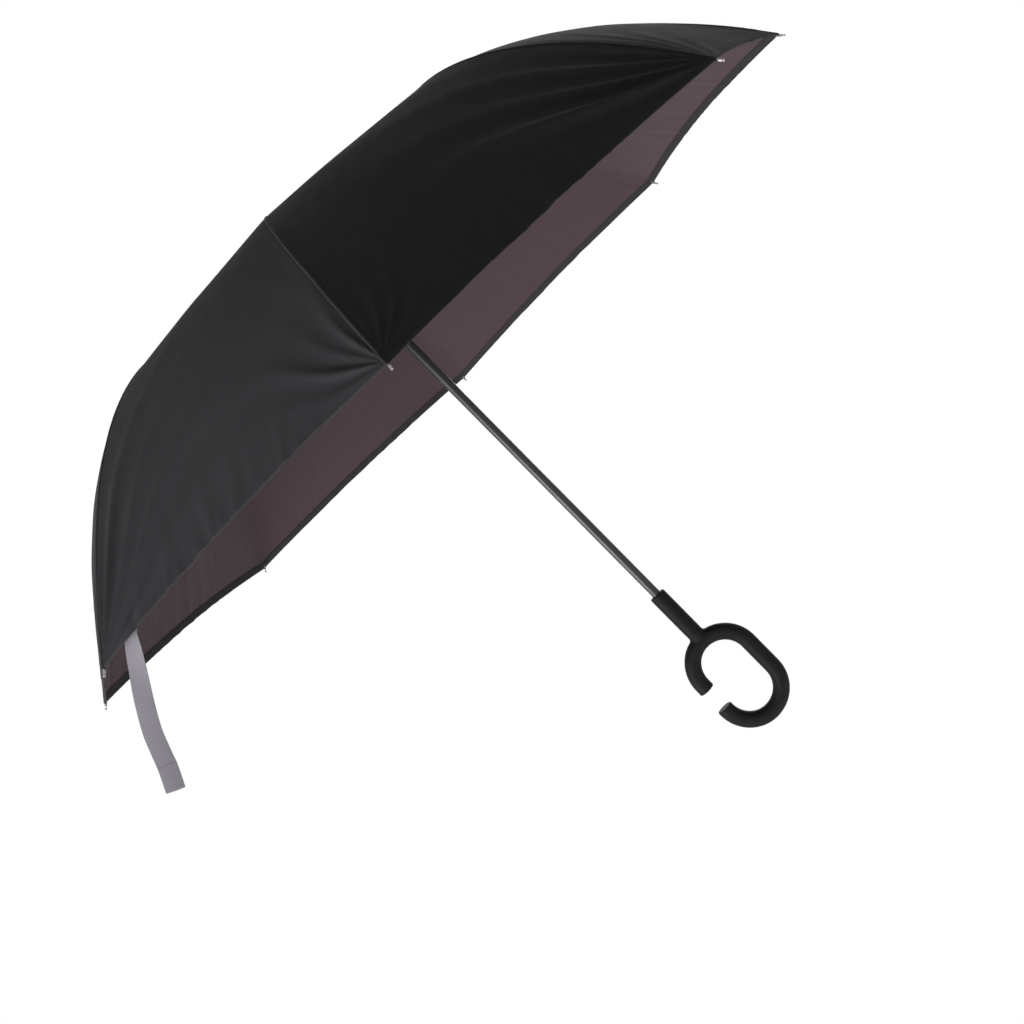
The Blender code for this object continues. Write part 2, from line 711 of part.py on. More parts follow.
def rib(steel):
    """The lower arm: eye at the runner, channel to the knee, bent on to the rod's socket."""
    half_w, half_h = BAR_WIDTH / 2, BAR_HEIGHT / 2
    root, knee = (PIVOT_RADIUS, RUNNER_Z), (KNEE_RADIUS, KNEE_Z)
    tail = channel_line()
    piece = eye_and_tongue("rib", (0, 0), steel)
    piece.data.transform(Matrix.Rotation(-OPEN_ANGLE, 4, "Y"))
    piece.data.transform(Matrix.Translation((root[0], 0, root[1])))
    line = [between(root, knee, TONGUE_LENGTH), knee] + tail
    channel = prism("channel", offset_line(line, -half_h) + offset_line(line, half_h)[::-1], -half_w, half_w)
    boss = disc("boss", knee, EYE_RADIUS, -half_w, half_w, 14)
    start, stop = between(root, knee, TONGUE_LENGTH + BAR_WIDTH * 1.5), between(knee, root, EYE_RADIUS * 3)
    floor = [start, stop]
    hollow = prism(
        "hollow",
        offset_line(floor, -half_h - CUT_OVERRUN) + offset_line(floor, half_h - BAR_WEB)[::-1],
        BAR_WEB - half_w,
        half_w - BAR_WEB,
    )
    behind = between(tail[-1], tail[-2], SOCKET_LENGTH)
    lip = between(tail[-2], tail[-1], BAR_WEB + math.dist(tail[-2], tail[-1]))
    sleeve = sweep("sleeve", [behind, lip], [SOCKET_RADIUS] * 2, 12)
    ahead = between(tail[-2], tail[-1], SOCKET_LENGTH + math.dist(tail[-2], tail[-1]))
    deep = between(tail[-1], tail[-2], SOCKET_LENGTH - EYE_RADIUS)
    bore = sweep("bore", [deep, ahead], [ROD_RADIUS + RUN_CLEARANCE] * 2, 8)
    hole = disc("hole", knee, RIVET_RADIUS + RUN_CLEARANCE, -BAR_WIDTH, BAR_WIDTH, 10)
    join(piece, channel, boss, sleeve)
    return cut(piece, hollow, bore, hole, wire_hole(root))


def rib_rod(fibre):
    """The fibreglass rod bent under the cover, with the steel tip that the covers' corners are sewn to."""
    tail = channel_line()
    start = between(tail[-1], tail[-2], SOCKET_LENGTH - EYE_RADIUS - RUN_CLEARANCE)
    first = KNEE_RADIUS + CHANNEL_PAST_KNEE
    last = TIP_RADIUS - PINCH_LENGTH
    steps = 9
    stations = [first + (last - first) * (i + 1) / steps for i in range(steps)]
    path = [start, tail[-1]] + [rib_line(s) for s in stations]
    radii = [ROD_RADIUS] * len(path)
    for share in (0.5, 1.0):
        path.append(rib_line(last + PINCH_LENGTH * share))
        room = cover_spacing(last + PINCH_LENGTH * share) - CLOTH / 2 - RUN_CLEARANCE
        radii.append(max(min(room, ROD_RADIUS), TIP_PIN_RADIUS))
    radii[-1] = TIP_PIN_RADIUS
    before, corner = path[-2], path[-1]
    run = math.dist(before, corner)
    reach = TIP_REACH - TIP_BALL_RADIUS * 2
    path.append(between(before, corner, run + reach))
    radii.append(TIP_PIN_RADIUS)
    for share, width_share in ((0.3, 0.85), (1.0, 1.0), (1.7, 0.85), (2.0, 0.4)):
        path.append(between(before, corner, run + reach + TIP_BALL_RADIUS * share))
        radii.append(TIP_BALL_RADIUS * width_share)
    return sweep("rib_rod", path, radii, 8, fibre)


SECTOR_STEPS = (-1.0, -0.66, -0.33, -0.012, 0.012, 0.33, 0.66, 1.0)


def cover_inner(cloth):
    """The black cover's flat top over one stretcher, from the cap to the knee."""
    steps = (SECTOR_STEPS[0], SECTOR_STEPS[3], SECTOR_STEPS[4], SECTOR_STEPS[7])
    ends = (COVER_HOLE, KNEE_RADIUS - RUN_CLEARANCE / 2)
    stations = [[(s, u, 0) for u in steps] for s in ends]
    top, bottom = sheet_rows(lambda s: (s, cover_profile(s)[0]), stations, CLOTH)
    return cloth_solid("cover_top", top, bottom, cloth)


def cover_outer(cloth):
    """The black cover's skirt over one rod, from the knee to the hemmed, scalloped rim."""
    first = KNEE_RADIUS + RUN_CLEARANCE / 2
    shares = [i / 10 for i in range(11)]
    stations = []
    for share in shares:
        row = []
        for u in SECTOR_STEPS:
            end = rim_at(u) - HEM_WIDTH - RUN_CLEARANCE
            row.append((first + (end - first) * share, u, 0))
        stations.append(row)
    for inset in (HEM_WIDTH, 0):
        depth = [HEM_DEPTH * min(abs(u) / abs(SECTOR_STEPS[2]), 1) for u in SECTOR_STEPS]
        depth = [0 if abs(u) < abs(SECTOR_STEPS[2]) / 2 else d for u, d in zip(SECTOR_STEPS, depth)]
        stations.append([(rim_at(u) - inset, u, d) for u, d in zip(SECTOR_STEPS, depth)])
    top, bottom = sheet_rows(lambda s: (s, cover_profile(s)[0]), stations, CLOTH)
    return cloth_solid("cover_skirt", top, bottom, cloth)


def lining(cloth):
    """The grey lining under one rib, from the runner's hub to the inside of the hem, slack between ribs."""
    steps = (-1.0, -0.66, -0.33, 0.0, 0.33, 0.66, 1.0)
    marks = lining_marks()
    stations = [[(mark[0], u, 0) for u in steps] for mark in marks[:-1]]
    start, end = marks[-2][0], marks[-1][0]
    for share in (0.5, 1.0):
        row = []
        for u in steps:
            drawn_in = TIP_RADIUS - rim_at(u)
            row.append((start + (end - drawn_in - start) * share, u, 0))
        stations.append(row)
    top, bottom = sheet_rows(lining_mid, stations, CLOTH)
    for row in top + bottom:
        for i, (x, y, z) in enumerate(row):
            slack = LINING_SAG_SHARE * abs(y) * (2 - abs(steps[i]))
            row[i] = (x, y, z - slack)
    return cloth_solid("lining", top, bottom, cloth)


def strap(webbing):
    """The closing strap, sewn inside the hem beside rib 8 and hanging free, its end turned up double."""
    depth = HEM_DEPTH + CLOTH / 2 + CLOTH / 2 + RUN_CLEARANCE
    rim_s = rim_at(STRAP_OFFSET / (TIP_RADIUS * SECTOR_SHARE))
    route = []
    for share in (0.0, 1.0):
        at, z = under_cover(rim_s + STRAP_SEWN * (share - 1), depth)
        route.append(Vector((at - STRAP_OFFSET * SECTOR_TAN, STRAP_OFFSET, z)))
    edge, stitched = route[-1], len(route)
    fall = Vector((0.42, -0.34, -0.84)).normalized()
    drift = Vector((0.36, -0.28, -0.89)).normalized()
    loose = 1 - STRAP_TURN_UP / STRAP_HANG
    turned_up = stitched + 5
    for share in [loose * part for part in (0.1, 0.3, 0.5, 0.7, 0.9, 0.995)] + [loose, 1.0]:
        sway = fall.lerp(drift, share).normalized() * STRAP_HANG * share
        wave = math.sin(share * 1.6 * math.pi) * STRAP_WAVE
        route.append(edge + sway + Vector((wave, wave, 0)))
    flat, hung = Vector((-SECTOR_TAN, 1, 0)), Vector((-0.50, 0.505, -0.70))
    top, bottom = [], []
    for i, point in enumerate(route):
        before, after = route[max(i - 1, 0)], route[min(i + 1, len(route) - 1)]
        along = (after - before).normalized()
        share = min(max((i - stitched + 1) / 3, 0), 1)
        across = flat.lerp(hung, share)
        across = (across - along * across.dot(along)).normalized()
        face = across.cross(along).normalized() * CLOTH / 2
        sides = [point + across * STRAP_WIDTH / 2 * side for side in (-1, 1)]
        layers = 3 if i > turned_up else 1
        top.append([p + face for p in sides])
        bottom.append([p - face * layers for p in sides])
    return cloth_solid("strap", top, bottom, webbing)


def build():
    clear_scene()
    steel = finish("blackened steel", (0.02, 0.02, 0.022), 0.35, 0.8)
    bright = finish("bright steel", (0.6, 0.6, 0.62), 0.25, 1.0)
    rubber = finish("soft-touch rubber", (0.012, 0.011, 0.012), 0.7)
    plastic = finish("black nylon", (0.012, 0.012, 0.012), 0.45)
    red = finish("red plastic", (0.63, 0.005, 0.012), 0.3)
    fibre = finish("black fibreglass", (0.01, 0.01, 0.01), 0.4)
    black_cloth = finish("black pongee", (0.013, 0.012, 0.014), 0.5)
    grey_cloth = finish("grey pongee", (0.075, 0.055, 0.061), 0.6)
    webbing = finish("grey webbing", (0.24, 0.22, 0.26), 0.7)

    shaft_tube(steel)
    grip(rubber)
    cross_pin(bright)
    crown(plastic)
    wire_ring("crown_wire", CROWN_Z, bright)
    top_cap(plastic)
    shaft_catch(bright)

    masters = {
        "stretcher": stretcher(steel),
        "cover_top": cover_inner(black_cloth),
        "rib": rib(steel),
        "rib_rod": rib_rod(fibre),
        "cover_skirt": cover_outer(black_cloth),
        "lining": lining(grey_cloth),
    }
    hinge_place, knee_place = (PIVOT_RADIUS, CROWN_Z), (KNEE_RADIUS, KNEE_Z)
    carried = {"stretcher": hinge_place, "cover_top": hinge_place}
    for name, piece in masters.items():
        place = carried.get(name, knee_place)
        piece.data.transform(Matrix.Translation((-place[0], 0, -place[1])))
    for number in range(1, RIB_COUNT + 1):
        turn = rib_turn(number)
        hinge = pivot_frame(f"crown_hinge_{number}", hinge_place, turn)
        knee = pivot_frame(f"knee_hinge_{number}", knee_place, turn, hinge)
        for name, piece in masters.items():
            copy = bpy.data.objects.new(f"{name}_{number}", piece.data)
            bpy.context.collection.objects.link(copy)
            copy.parent = hinge if name in carried else knee
    for piece in masters.values():
        bpy.data.objects.remove(piece, do_unlink=True)

    last_knee = bpy.data.objects[f"knee_hinge_{RIB_COUNT}"]
    band = strap(webbing)
    band.data.transform(Matrix.Translation((-knee_place[0], 0, -knee_place[1])))
    band.parent = last_knee

    slider = pivot_frame("runner_pivot", (PIVOT_RADIUS, RUNNER_Z), rib_turn(1))
    for piece in (
        runner(plastic),
        wire_ring("runner_wire", RUNNER_Z, bright),
        button_spring(bright),
        release_button(red),
    ):
        piece.parent = slider
        piece.matrix_parent_inverse = slider.matrix_world.inverted()


build()
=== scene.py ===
import math

import bpy
import numpy as np
from mathutils import Matrix, Vector, noise


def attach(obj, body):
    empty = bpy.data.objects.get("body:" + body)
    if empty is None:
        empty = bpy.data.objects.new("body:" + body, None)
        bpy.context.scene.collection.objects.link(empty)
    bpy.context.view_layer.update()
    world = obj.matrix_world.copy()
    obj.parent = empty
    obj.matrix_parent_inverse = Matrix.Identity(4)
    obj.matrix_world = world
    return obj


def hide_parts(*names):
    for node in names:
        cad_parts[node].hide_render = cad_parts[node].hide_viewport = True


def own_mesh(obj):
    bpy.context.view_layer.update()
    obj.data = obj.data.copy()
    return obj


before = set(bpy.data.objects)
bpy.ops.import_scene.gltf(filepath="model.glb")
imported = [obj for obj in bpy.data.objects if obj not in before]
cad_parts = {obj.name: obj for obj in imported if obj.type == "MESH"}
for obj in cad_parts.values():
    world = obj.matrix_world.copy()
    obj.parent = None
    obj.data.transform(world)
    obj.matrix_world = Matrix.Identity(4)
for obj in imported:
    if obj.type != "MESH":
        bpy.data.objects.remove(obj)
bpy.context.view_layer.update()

# The photograph's camera. The umbrella is upright in this frame and leans in the picture, so the camera
# is rolled instead. Its place, turn and lens were fitted to the eight rib tips, the shaft and the grip; the
# lens is given in the picture's pixels.
camera_place = Vector((0.0708, -1.6730, 0.2851))
camera_azimuth = math.radians(-2.23)
camera_elevation = math.radians(-2.46)
camera_roll = math.radians(-44.67)
picture_width, focal_length, middle_shift = 1024, 1495.15, (-37.72, -32.86)
film_width = 36
ahead = Vector((
    math.sin(camera_azimuth) * math.cos(camera_elevation),
    math.cos(camera_azimuth) * math.cos(camera_elevation),
    math.sin(camera_elevation),
))
level = Vector((math.cos(camera_azimuth), -math.sin(camera_azimuth), 0))
upward = level.cross(ahead)
picture_right = math.cos(camera_roll) * level + math.sin(camera_roll) * upward
picture_up = math.cos(camera_roll) * upward - math.sin(camera_roll) * level
lens = bpy.data.cameras.new("photograph")
lens.sensor_width = film_width
lens.lens = film_width * focal_length / picture_width
lens.shift_x, lens.shift_y = (shift / picture_width for shift in middle_shift)
lens.clip_start, lens.clip_end = 0.05, 100
camera = bpy.data.objects.new("photograph", lens)
bpy.context.collection.objects.link(camera)
turned = Matrix((picture_right, picture_up, -ahead)).transposed().to_4x4()
camera.matrix_world = Matrix.Translation(camera_place) @ turned
bpy.context.scene.camera = camera
bpy.context.scene.view_settings.view_transform = "Standard"


# The studio: a white room with one broad lamp low to the left of the camera, weaker ones behind and
# below, and a pale floor a good metre under the grip, which fades into the white and is open from below.
def paint(code):
    """A colour written as sRGB hex, as the linear value that nodes take."""
    parts = [int(code[i:i + 2], 16) / 255 for i in (1, 3, 5)]
    return (*[p / 12.92 if p <= 0.04045 else ((p + 0.055) / 1.055) ** 2.4 for p in parts], 1.0)


def add_node(tree, kind, sockets=None, **settings):
    """A node with its settings made and its sockets set, or linked where a socket is given."""
    node = tree.nodes.new(kind)
    for key, value in settings.items():
        setattr(node, key, value)
    for key, value in (sockets or {}).items():
        if isinstance(value, bpy.types.NodeSocket):
            tree.links.new(value, node.inputs[key])
        else:
            node.inputs[key].default_value = value
    return node


def new_object(name, data):
    """An object of a mesh or lamp, in the scene."""
    made = bpy.data.objects.new(name, data)
    bpy.context.collection.objects.link(made)
    return made


def background_seen(tree):
    """1 where a ray comes from the camera, a mirror or glass, so that it sees the white of the room."""
    path = add_node(tree, "ShaderNodeLightPath")
    shiny = add_node(tree, "ShaderNodeMath", {0: path.outputs["Is Camera Ray"], 1: path.outputs["Is Glossy Ray"]},
                     operation="MAXIMUM")
    return add_node(tree, "ShaderNodeMath", {0: shiny.outputs[0], 1: path.outputs["Is Transmission Ray"]},
                    operation="MAXIMUM").outputs[0]


room = bpy.data.worlds.new("white room")
bpy.context.scene.world = room
room.use_nodes = True
room_tree = room.node_tree
room_tree.nodes.clear()
seen = add_node(room_tree, "ShaderNodeBackground", {"Color": paint("#ffffff"), "Strength": 1.0})
lit = add_node(room_tree, "ShaderNodeBackground", {"Color": paint("#f4f6fa"), "Strength": 0.20})
room_mix = add_node(room_tree, "ShaderNodeMixShader",
                    {0: background_seen(room_tree), 1: lit.outputs[0], 2: seen.outputs[0]})
add_node(room_tree, "ShaderNodeOutputWorld", {"Surface": room_mix.outputs[0]})

floor_level, floor_reach, floor_plain, floor_faded = -1.25, 3.0, 0.55, 1.05
floor_mesh = bpy.data.meshes.new("floor")
floor_corners = [(x * floor_reach, y * floor_reach, floor_level) for x, y in ((-1, -1), (1, -1), (1, 1), (-1, 1))]
floor_mesh.from_pydata(floor_corners, [], [(0, 1, 2, 3)])
floor = new_object("floor", floor_mesh)
floor_paint = bpy.data.materials.new("pale painted floor")
floor_paint.use_nodes = True
floor_tree = floor_paint.node_tree
floor_tree.nodes.clear()
where = add_node(floor_tree, "ShaderNodeTexCoord")
flat = add_node(floor_tree, "ShaderNodeVectorMath", {0: where.outputs["Object"], 1: (1, 1, 0)}, operation="MULTIPLY")
away = add_node(floor_tree, "ShaderNodeVectorMath", {0: flat.outputs[0]}, operation="LENGTH")
fade = add_node(floor_tree, "ShaderNodeMapRange",
                {"Value": away.outputs["Value"], "From Min": floor_plain, "From Max": floor_faded},
                interpolation_type="SMOOTHSTEP")
seen_fade = add_node(floor_tree, "ShaderNodeMath", {0: fade.outputs[0], 1: background_seen(floor_tree)},
                     operation="MULTIPLY")
matt = add_node(floor_tree, "ShaderNodeBsdfDiffuse", {"Color": paint("#f1f1f0")})
white = add_node(floor_tree, "ShaderNodeEmission", {"Color": paint("#ffffff"), "Strength": 1.0})
clear = add_node(floor_tree, "ShaderNodeBsdfTransparent")
side = add_node(floor_tree, "ShaderNodeNewGeometry")
faded = add_node(floor_tree, "ShaderNodeMixShader", {0: seen_fade.outputs[0], 1: matt.outputs[0], 2: white.outputs[0]})
open_below = add_node(floor_tree, "ShaderNodeMixShader",
                      {0: side.outputs["Backfacing"], 1: faded.outputs[0], 2: clear.outputs[0]})
add_node(floor_tree, "ShaderNodeOutputMaterial", {"Surface": open_below.outputs[0]})
floor_mesh.materials.append(floor_paint)

for name, place, aim, across, power in (
    ("broad lamp", (-2.25, -1.60, -0.10), (-0.1, -0.3, 0.45), 1.2, 82),
    ("back lamp", (0.6, 2.7, 0.85), (0, 0, 0.45), 1.6, 36),
    ("low lamp", (0.4, -0.5, -1.0), (-0.2, 0, 0.45), 1.2, 7),
):
    light = bpy.data.lights.new(name, "AREA")
    light.shape, light.size, light.energy = "DISK", across, power
    lamp = new_object(name, light)
    lamp.location = place
    lamp.rotation_euler = (Vector(aim) - Vector(place)).to_track_quat("-Z", "Y").to_euler()


# The outer cover: eight gores of black pongee, a plain-woven polyester calendered to a soft satin. It is
# stretched over the arms to a flat top and over the bent rods to the rim, where it is turned in as a hem.
# It is cut here at the middle of each gore and at the knees, so that each part follows its arm or rod.
rib_count = 8
numbers = range(1, rib_count + 1)
tip_radius = 0.530
arm_length = 0.270
open_angle = math.radians(8.6)
pivot_radius = 0.011
crown_z = 0.618942
rim_drop = 0.232
rim_z = crown_z - rim_drop
knee_radius = pivot_radius + arm_length * math.cos(open_angle)
knee_z = crown_z - arm_length * math.sin(open_angle)
runner_z = crown_z - 2 * arm_length * math.sin(open_angle)
half_gore = math.pi / rib_count
cover_rise = 0.0036
cover_knee_z = knee_z + cover_rise / math.cos(open_angle)
cover_hole = 0.0070
cover_puff = 0.0066
hem_width = 0.0056
hem_roll = 0.0009
rod_room_width = 0.0060
cloth_thickness = 0.00030
rod_clearance = 0.0005

# The curve of a rod between knee and tip: how far along and how high its bend pulls, as shares of both.
bend_along, bend_high = 0.413, 0.897

# How much higher than the others a rod is bowed; the rest are alike. The bow is highest past the middle.
rod_bow, bow_power = {2: 0.0040, 3: 0.0046}, 1.7

# The rod's depth under the cover and its radius: at the tip, how much more further in, and over what length.
tip_depth, deeper, depth_run = 0.0016, 0.0020, 0.030
tip_rod_radius, thicker, radius_run = 0.0011, 0.0004, 0.025

# The seam over a rib: a ridge on its middle and a groove along each row of stitches, height and half width.
seam_ridge, seam_groove, seam_half = (0.0006, 0.0016), (0.00035, 0.0006), 0.0026

# Slack of the cloth, coarse and fine: grain and height. It dies away towards the ribs that hold the cloth.
coarse_slack, fine_slack, held_by_rib = (0.120, 0.0009), (0.035, 0.00011), 0.012

# How far each gore's rim is drawn in at its middle.
rim_drawn_in = {1: 0.0035, 2: 0.0060, 3: 0.0068, 4: 0.0040, 5: 0.0040, 6: 0.0058, 7: 0.0060, 8: 0.0060}

# Reach, height, number and lean to the rim of the creases at the first and second corner of each gore.
corner_creases = {
    1: ((0.026, 0.0012, 4.5, 1.0), (0.082, 0.0040, 4.6, 1.9)),
    2: ((0.060, 0.0014, 4.0, 1.0), (0.050, 0.0012, 4.0, 1.0)),
    3: ((0.050, 0.0012, 4.5, 1.0), (0.060, 0.0010, 4.0, 1.0)),
    4: ((0.060, 0.0011, 4.0, 1.0), (0.050, 0.0012, 4.5, 1.0)),
    5: ((0.055, 0.0012, 4.5, 1.0), (0.060, 0.0011, 4.0, 1.0)),
    6: ((0.050, 0.0011, 4.0, 1.0), (0.055, 0.0012, 4.5, 1.0)),
    7: ((0.055, 0.0012, 4.5, 1.0), (0.060, 0.0013, 4.0, 1.0)),
    8: ((0.070, 0.0031, 4.7, 0.8), (0.042, 0.0015, 4.1, 0.8)),
}

# How much a fan of creases is stretched up the rib, how much a crease bends, and how far it dips between folds.
fan_stretch, crease_bend, crease_dip = 1.25, 0.05, 0.3

# Where the hem puckers the rim of a gore: middle and half length as shares of the rim, and height.
rim_puckers = {1: (0.50, 0.32, 0.0026), 8: (0.42, 0.40, 0.0038)}
plain_puckers = (0.50, 0.40, 0.0014)
pucker_grain, pucker_reach = 0.0110, 0.020

# The puff's form, how puckers and fine slack are drawn out along the ribs, and over what length slack starts.
puff_power, pucker_share, slack_share, slack_start = 0.85, 0.30, 0.4, 0.12


def rib_turn(number):
    """Angle about Z of a rib: rib 1 points at the camera."""
    return -math.pi / 2 + 2 * math.pi * (number - 1) / rib_count


def cover_height(s):
    """Height of the cover over a rib at radius s: a straight arm, then the curve that the rod is bent to."""
    s = np.asarray(s, float)
    span, height = tip_radius - knee_radius, cover_knee_z - rim_z
    reach, lift = knee_radius + span * bend_along, rim_z + height * bend_high
    a, b = knee_radius - 2 * reach + tip_radius, 2 * (reach - knee_radius)
    c = knee_radius - np.maximum(s, knee_radius)
    t = (-b + np.sqrt(b * b - 4 * a * c)) / (2 * a)
    skirt = (1 - t) ** 2 * cover_knee_z + 2 * t * (1 - t) * lift + t * t * rim_z
    return np.where(s < knee_radius, cover_knee_z - math.tan(open_angle) * (s - knee_radius), skirt)


def soft_noise(points, grain, seed):
    """Smooth noise from -1 to 1 with the given grain in metres, for an array of points."""
    flat_points = np.asarray(points).reshape(-1, 3) / grain
    values = [noise.noise((p[0] + seed * 7.3, p[1] - seed * 3.1, p[2] + seed)) for p in flat_points]
    return np.array(values).reshape(np.asarray(points).shape[:-1])


def rim_radius(gore, v):
    """The rim between two ribs, v from 0 to 1: drawn in by the cloth's own pull."""
    return tip_radius - rim_drawn_in[gore] * 4 * v * (1 - v)


def gore_width(s):
    """Distance from rib to rib at radius s."""
    return 2 * s * math.sin(half_gore)


def from_rib(s, v):
    """Distance across the cloth from the nearer rib."""
    return np.minimum(v, 1 - v) * gore_width(s)


def corner_folds(along, across, reach, height, creases, lean, seed):
    """Creases that fan out of a gore's corner; along runs up the rib and across runs along the rim."""
    far = np.hypot(fan_stretch * along, across)
    angle = np.arctan2(across, fan_stretch * along) / (math.pi / 2)
    shape = (far / reach * np.exp(1 - far / reach)) ** 1.5
    full = (lean + 1) ** (lean + 1) / lean ** lean
    edges = np.clip(np.clip(angle, 0, 1) ** lean * (1 - angle) * full, 0, 1) ** 0.7
    bent = angle + crease_bend * np.sin(far / reach * 1.7 + seed)
    crease = 0.5 + 0.5 * np.cos((bent * creases + 0.37 * seed) * 2 * math.pi)
    uneven = 0.5 + 0.5 * np.cos((bent * creases * 0.43 + 0.61 * seed) * 2 * math.pi)
    return height * shape * edges * (1.9 * crease ** 1.6 * (0.4 + 0.6 * uneven) - crease_dip)


def bow_over(number, s):
    """How far a rod's own bow lifts the cover over it: nothing at the knee and at the tip."""
    share = np.clip((s - knee_radius) / (tip_radius - knee_radius), 0, 1)
    return rod_bow.get((number - 1) % rib_count + 1, 0) * np.sin(math.pi * share ** bow_power)


def cover_lift(gore, s, v):
    """How far the black cloth stands off the straight line between two ribs."""
    width, near = gore_width(s), from_rib(s, v)
    rim = rim_radius(gore, v)
    share = np.clip((s - knee_radius) / (rim - knee_radius), 0, 1)
    lift = cover_puff * 4 * v * (1 - v) * np.sin(math.pi * share ** puff_power)
    lift = lift + bow_over(gore, s) * (1 - v) + bow_over(gore + 1, s) * v
    lift = lift + seam_ridge[0] * np.exp(-(near / seam_ridge[1]) ** 2)
    lift = lift - seam_groove[0] * np.exp(-((near - seam_half) / seam_groove[1]) ** 2)
    for corner, (reach, height, creases, lean) in zip((v, 1 - v), corner_creases[gore]):
        lift = lift + corner_folds(tip_radius - s, corner * width, reach, height, creases, lean, gore + reach * 40)
    spot = np.stack([v * width, s, np.full_like(s, gore * 3.7)], -1)
    middle, length, height = rim_puckers.get(gore, plain_puckers)
    here = np.clip(1 - ((v - middle) / length) ** 2, 0, 1)
    puckers = soft_noise(spot * np.array((1, pucker_share, 1)), pucker_grain, 2) * height * here
    puckers = puckers * np.exp(-np.maximum(rim - s, 0) / pucker_reach)
    slack = soft_noise(spot, coarse_slack[0], 4) * coarse_slack[1]
    slack = slack + soft_noise(spot * np.array((1, slack_share, 1)), fine_slack[0], 5) * fine_slack[1]
    return lift + (puckers + slack * np.clip(s / slack_start, 0, 1)) * np.clip(near / held_by_rib, 0, 1)


def square_to_gore(gore, s, heights):
    """The direction that points straight out of a gore's cloth at radius s."""
    middle = rib_turn(gore) + half_gore
    step = 0.0005
    slope = (heights(s + step) - heights(s)) / step / math.cos(half_gore)
    size = np.sqrt(1 + slope * slope)
    return np.stack([-slope / size * math.cos(middle), -slope / size * math.sin(middle), 1 / size], -1)


def gore_point(gore, s, v, lift, heights):
    """Points of a gore between two ribs: straight from rib to rib, then lifted square to the cloth."""
    first, second = rib_turn(gore), rib_turn(gore + 1)
    x = s * ((1 - v) * math.cos(first) + v * math.cos(second))
    y = s * ((1 - v) * math.sin(first) + v * math.sin(second))
    return np.stack([x, y, heights(s)], -1) + square_to_gore(gore, s, heights) * lift[..., None]


def cover_surface(gore, s, v, depth):
    """Points of a gore a depth under its outer face, at radius s and share v of the way between its ribs."""
    return gore_point(gore, s, v, cover_lift(gore, s, v) - depth, cover_height)


def rod_depth(s):
    """How far the rod's middle lies under the cover; it comes closer to it towards the tip."""
    return tip_depth + deeper * np.clip((tip_radius - s) / depth_run, 0, 1)


def rod_radius(s):
    """The rod is ground thinner towards its tip."""
    return tip_rod_radius + thicker * np.clip((tip_radius - s) / radius_run, 0, 1)


def over_rod(s, v):
    """How far the rod pushes the hem's inner layer and the lining inwards beside a rib."""
    room = rod_depth(s) + rod_radius(s) + rod_clearance - 2 * hem_roll
    return room * np.exp(-(from_rib(s, v) / rod_room_width) ** 2)


# Distances from a rib at which its seam is drawn; beyond them the columns widen towards the gore's middle.
seam_steps = (0, 0.0007, 0.0013, 0.0019, 0.0026, 0.0033, 0.0042, 0.0065)


def sector_grid(number, rows, surface, count, widening=1.25):
    """Points over a rib's two half gores. A row gives s and the depth under the cover for a gore and v."""
    sides = []
    for gore, mirrored in (((number - 2) % rib_count + 1, True), (number, False)):
        v = np.zeros((len(rows), len(seam_steps) + count + 1))
        s, depth = np.zeros_like(v), np.zeros_like(v)
        for i, row in enumerate(rows):
            half = float(row(gore, np.array(0.25))[0]) * math.sin(half_gore)
            fine = np.array(seam_steps) * min(1, half / (seam_steps[-1] * 2.5))
            wide = fine[-1] + (half - fine[-1]) * (np.arange(1, count + 1) / count) ** widening
            v[i, :-1] = np.concatenate([fine, wide]) / half / 2
            v[i, -1] = 2 * v[i, -2] - v[i, -3]
            s[i], depth[i] = row(gore, v[i])
        place = 1 - v if mirrored else v
        sides.append((surface(gore, s, place, depth), s, v))
    left, right = sides
    points = np.concatenate([left[0][:, :0:-1], (left[0][:, :1] + right[0][:, :1]) / 2, right[0][:, 1:]], 1)
    s = np.concatenate([left[1][:, :0:-1], right[1]], 1)
    v = np.concatenate([-left[2][:, :0:-1], right[2]], 1)
    return points, s, v


def grid_normals(points):
    """Unit normals of a grid of points whose rows run outward and whose columns run anticlockwise."""
    normals = np.cross(np.gradient(points, axis=0), np.gradient(points, axis=1))
    return normals / np.maximum(np.linalg.norm(normals, axis=-1, keepdims=True), 1e-12)


def cloth_mesh(name, points, normals, thickness, chart, material):
    """A closed sheet: both faces, its edges, its weave's map and the normals of the smooth surface."""
    rows, columns = points.shape[:2]
    half = rows * columns
    both = np.concatenate([(points + normals * thickness / 2).reshape(-1, 3),
                           (points - normals * thickness / 2).reshape(-1, 3)])
    index = np.arange(half).reshape(rows, columns)
    a, b, c, d = index[:-1, :-1], index[1:, :-1], index[1:, 1:], index[:-1, 1:]
    top = np.stack([a, b, c, d], -1).reshape(-1, 4)
    bottom = np.stack([a, d, c, b], -1).reshape(-1, 4) + half
    edge = np.concatenate([index[0, :], index[1:, -1], index[-1, -2::-1], index[-2:0:-1, 0]])
    after = np.roll(edge, -1)
    wall = np.stack([edge, after, after + half, edge + half], -1)
    faces = np.concatenate([top, bottom, wall])
    mesh = bpy.data.meshes.new(name)
    mesh.from_pydata(both.tolist(), [], faces.tolist())
    mesh.shade_smooth()
    way = np.concatenate([normals.reshape(-1, 3), -normals.reshape(-1, 3)])
    layer = mesh.uv_layers.new(name="weave")
    flat_chart = np.concatenate([chart.reshape(-1, 2)] * 2)
    layer.data.foreach_set("uv", flat_chart[faces.reshape(-1)].astype(np.float32).ravel())
    mesh.normals_split_custom_set_from_vertices(way.tolist())
    mesh.materials.append(material)
    return new_object(name, mesh)


def new_material(name):
    """A material with its nodes and its surface shader."""
    made = bpy.data.materials.new(name)
    made.use_nodes = True
    return made, made.node_tree, made.node_tree.nodes["Principled BSDF"]


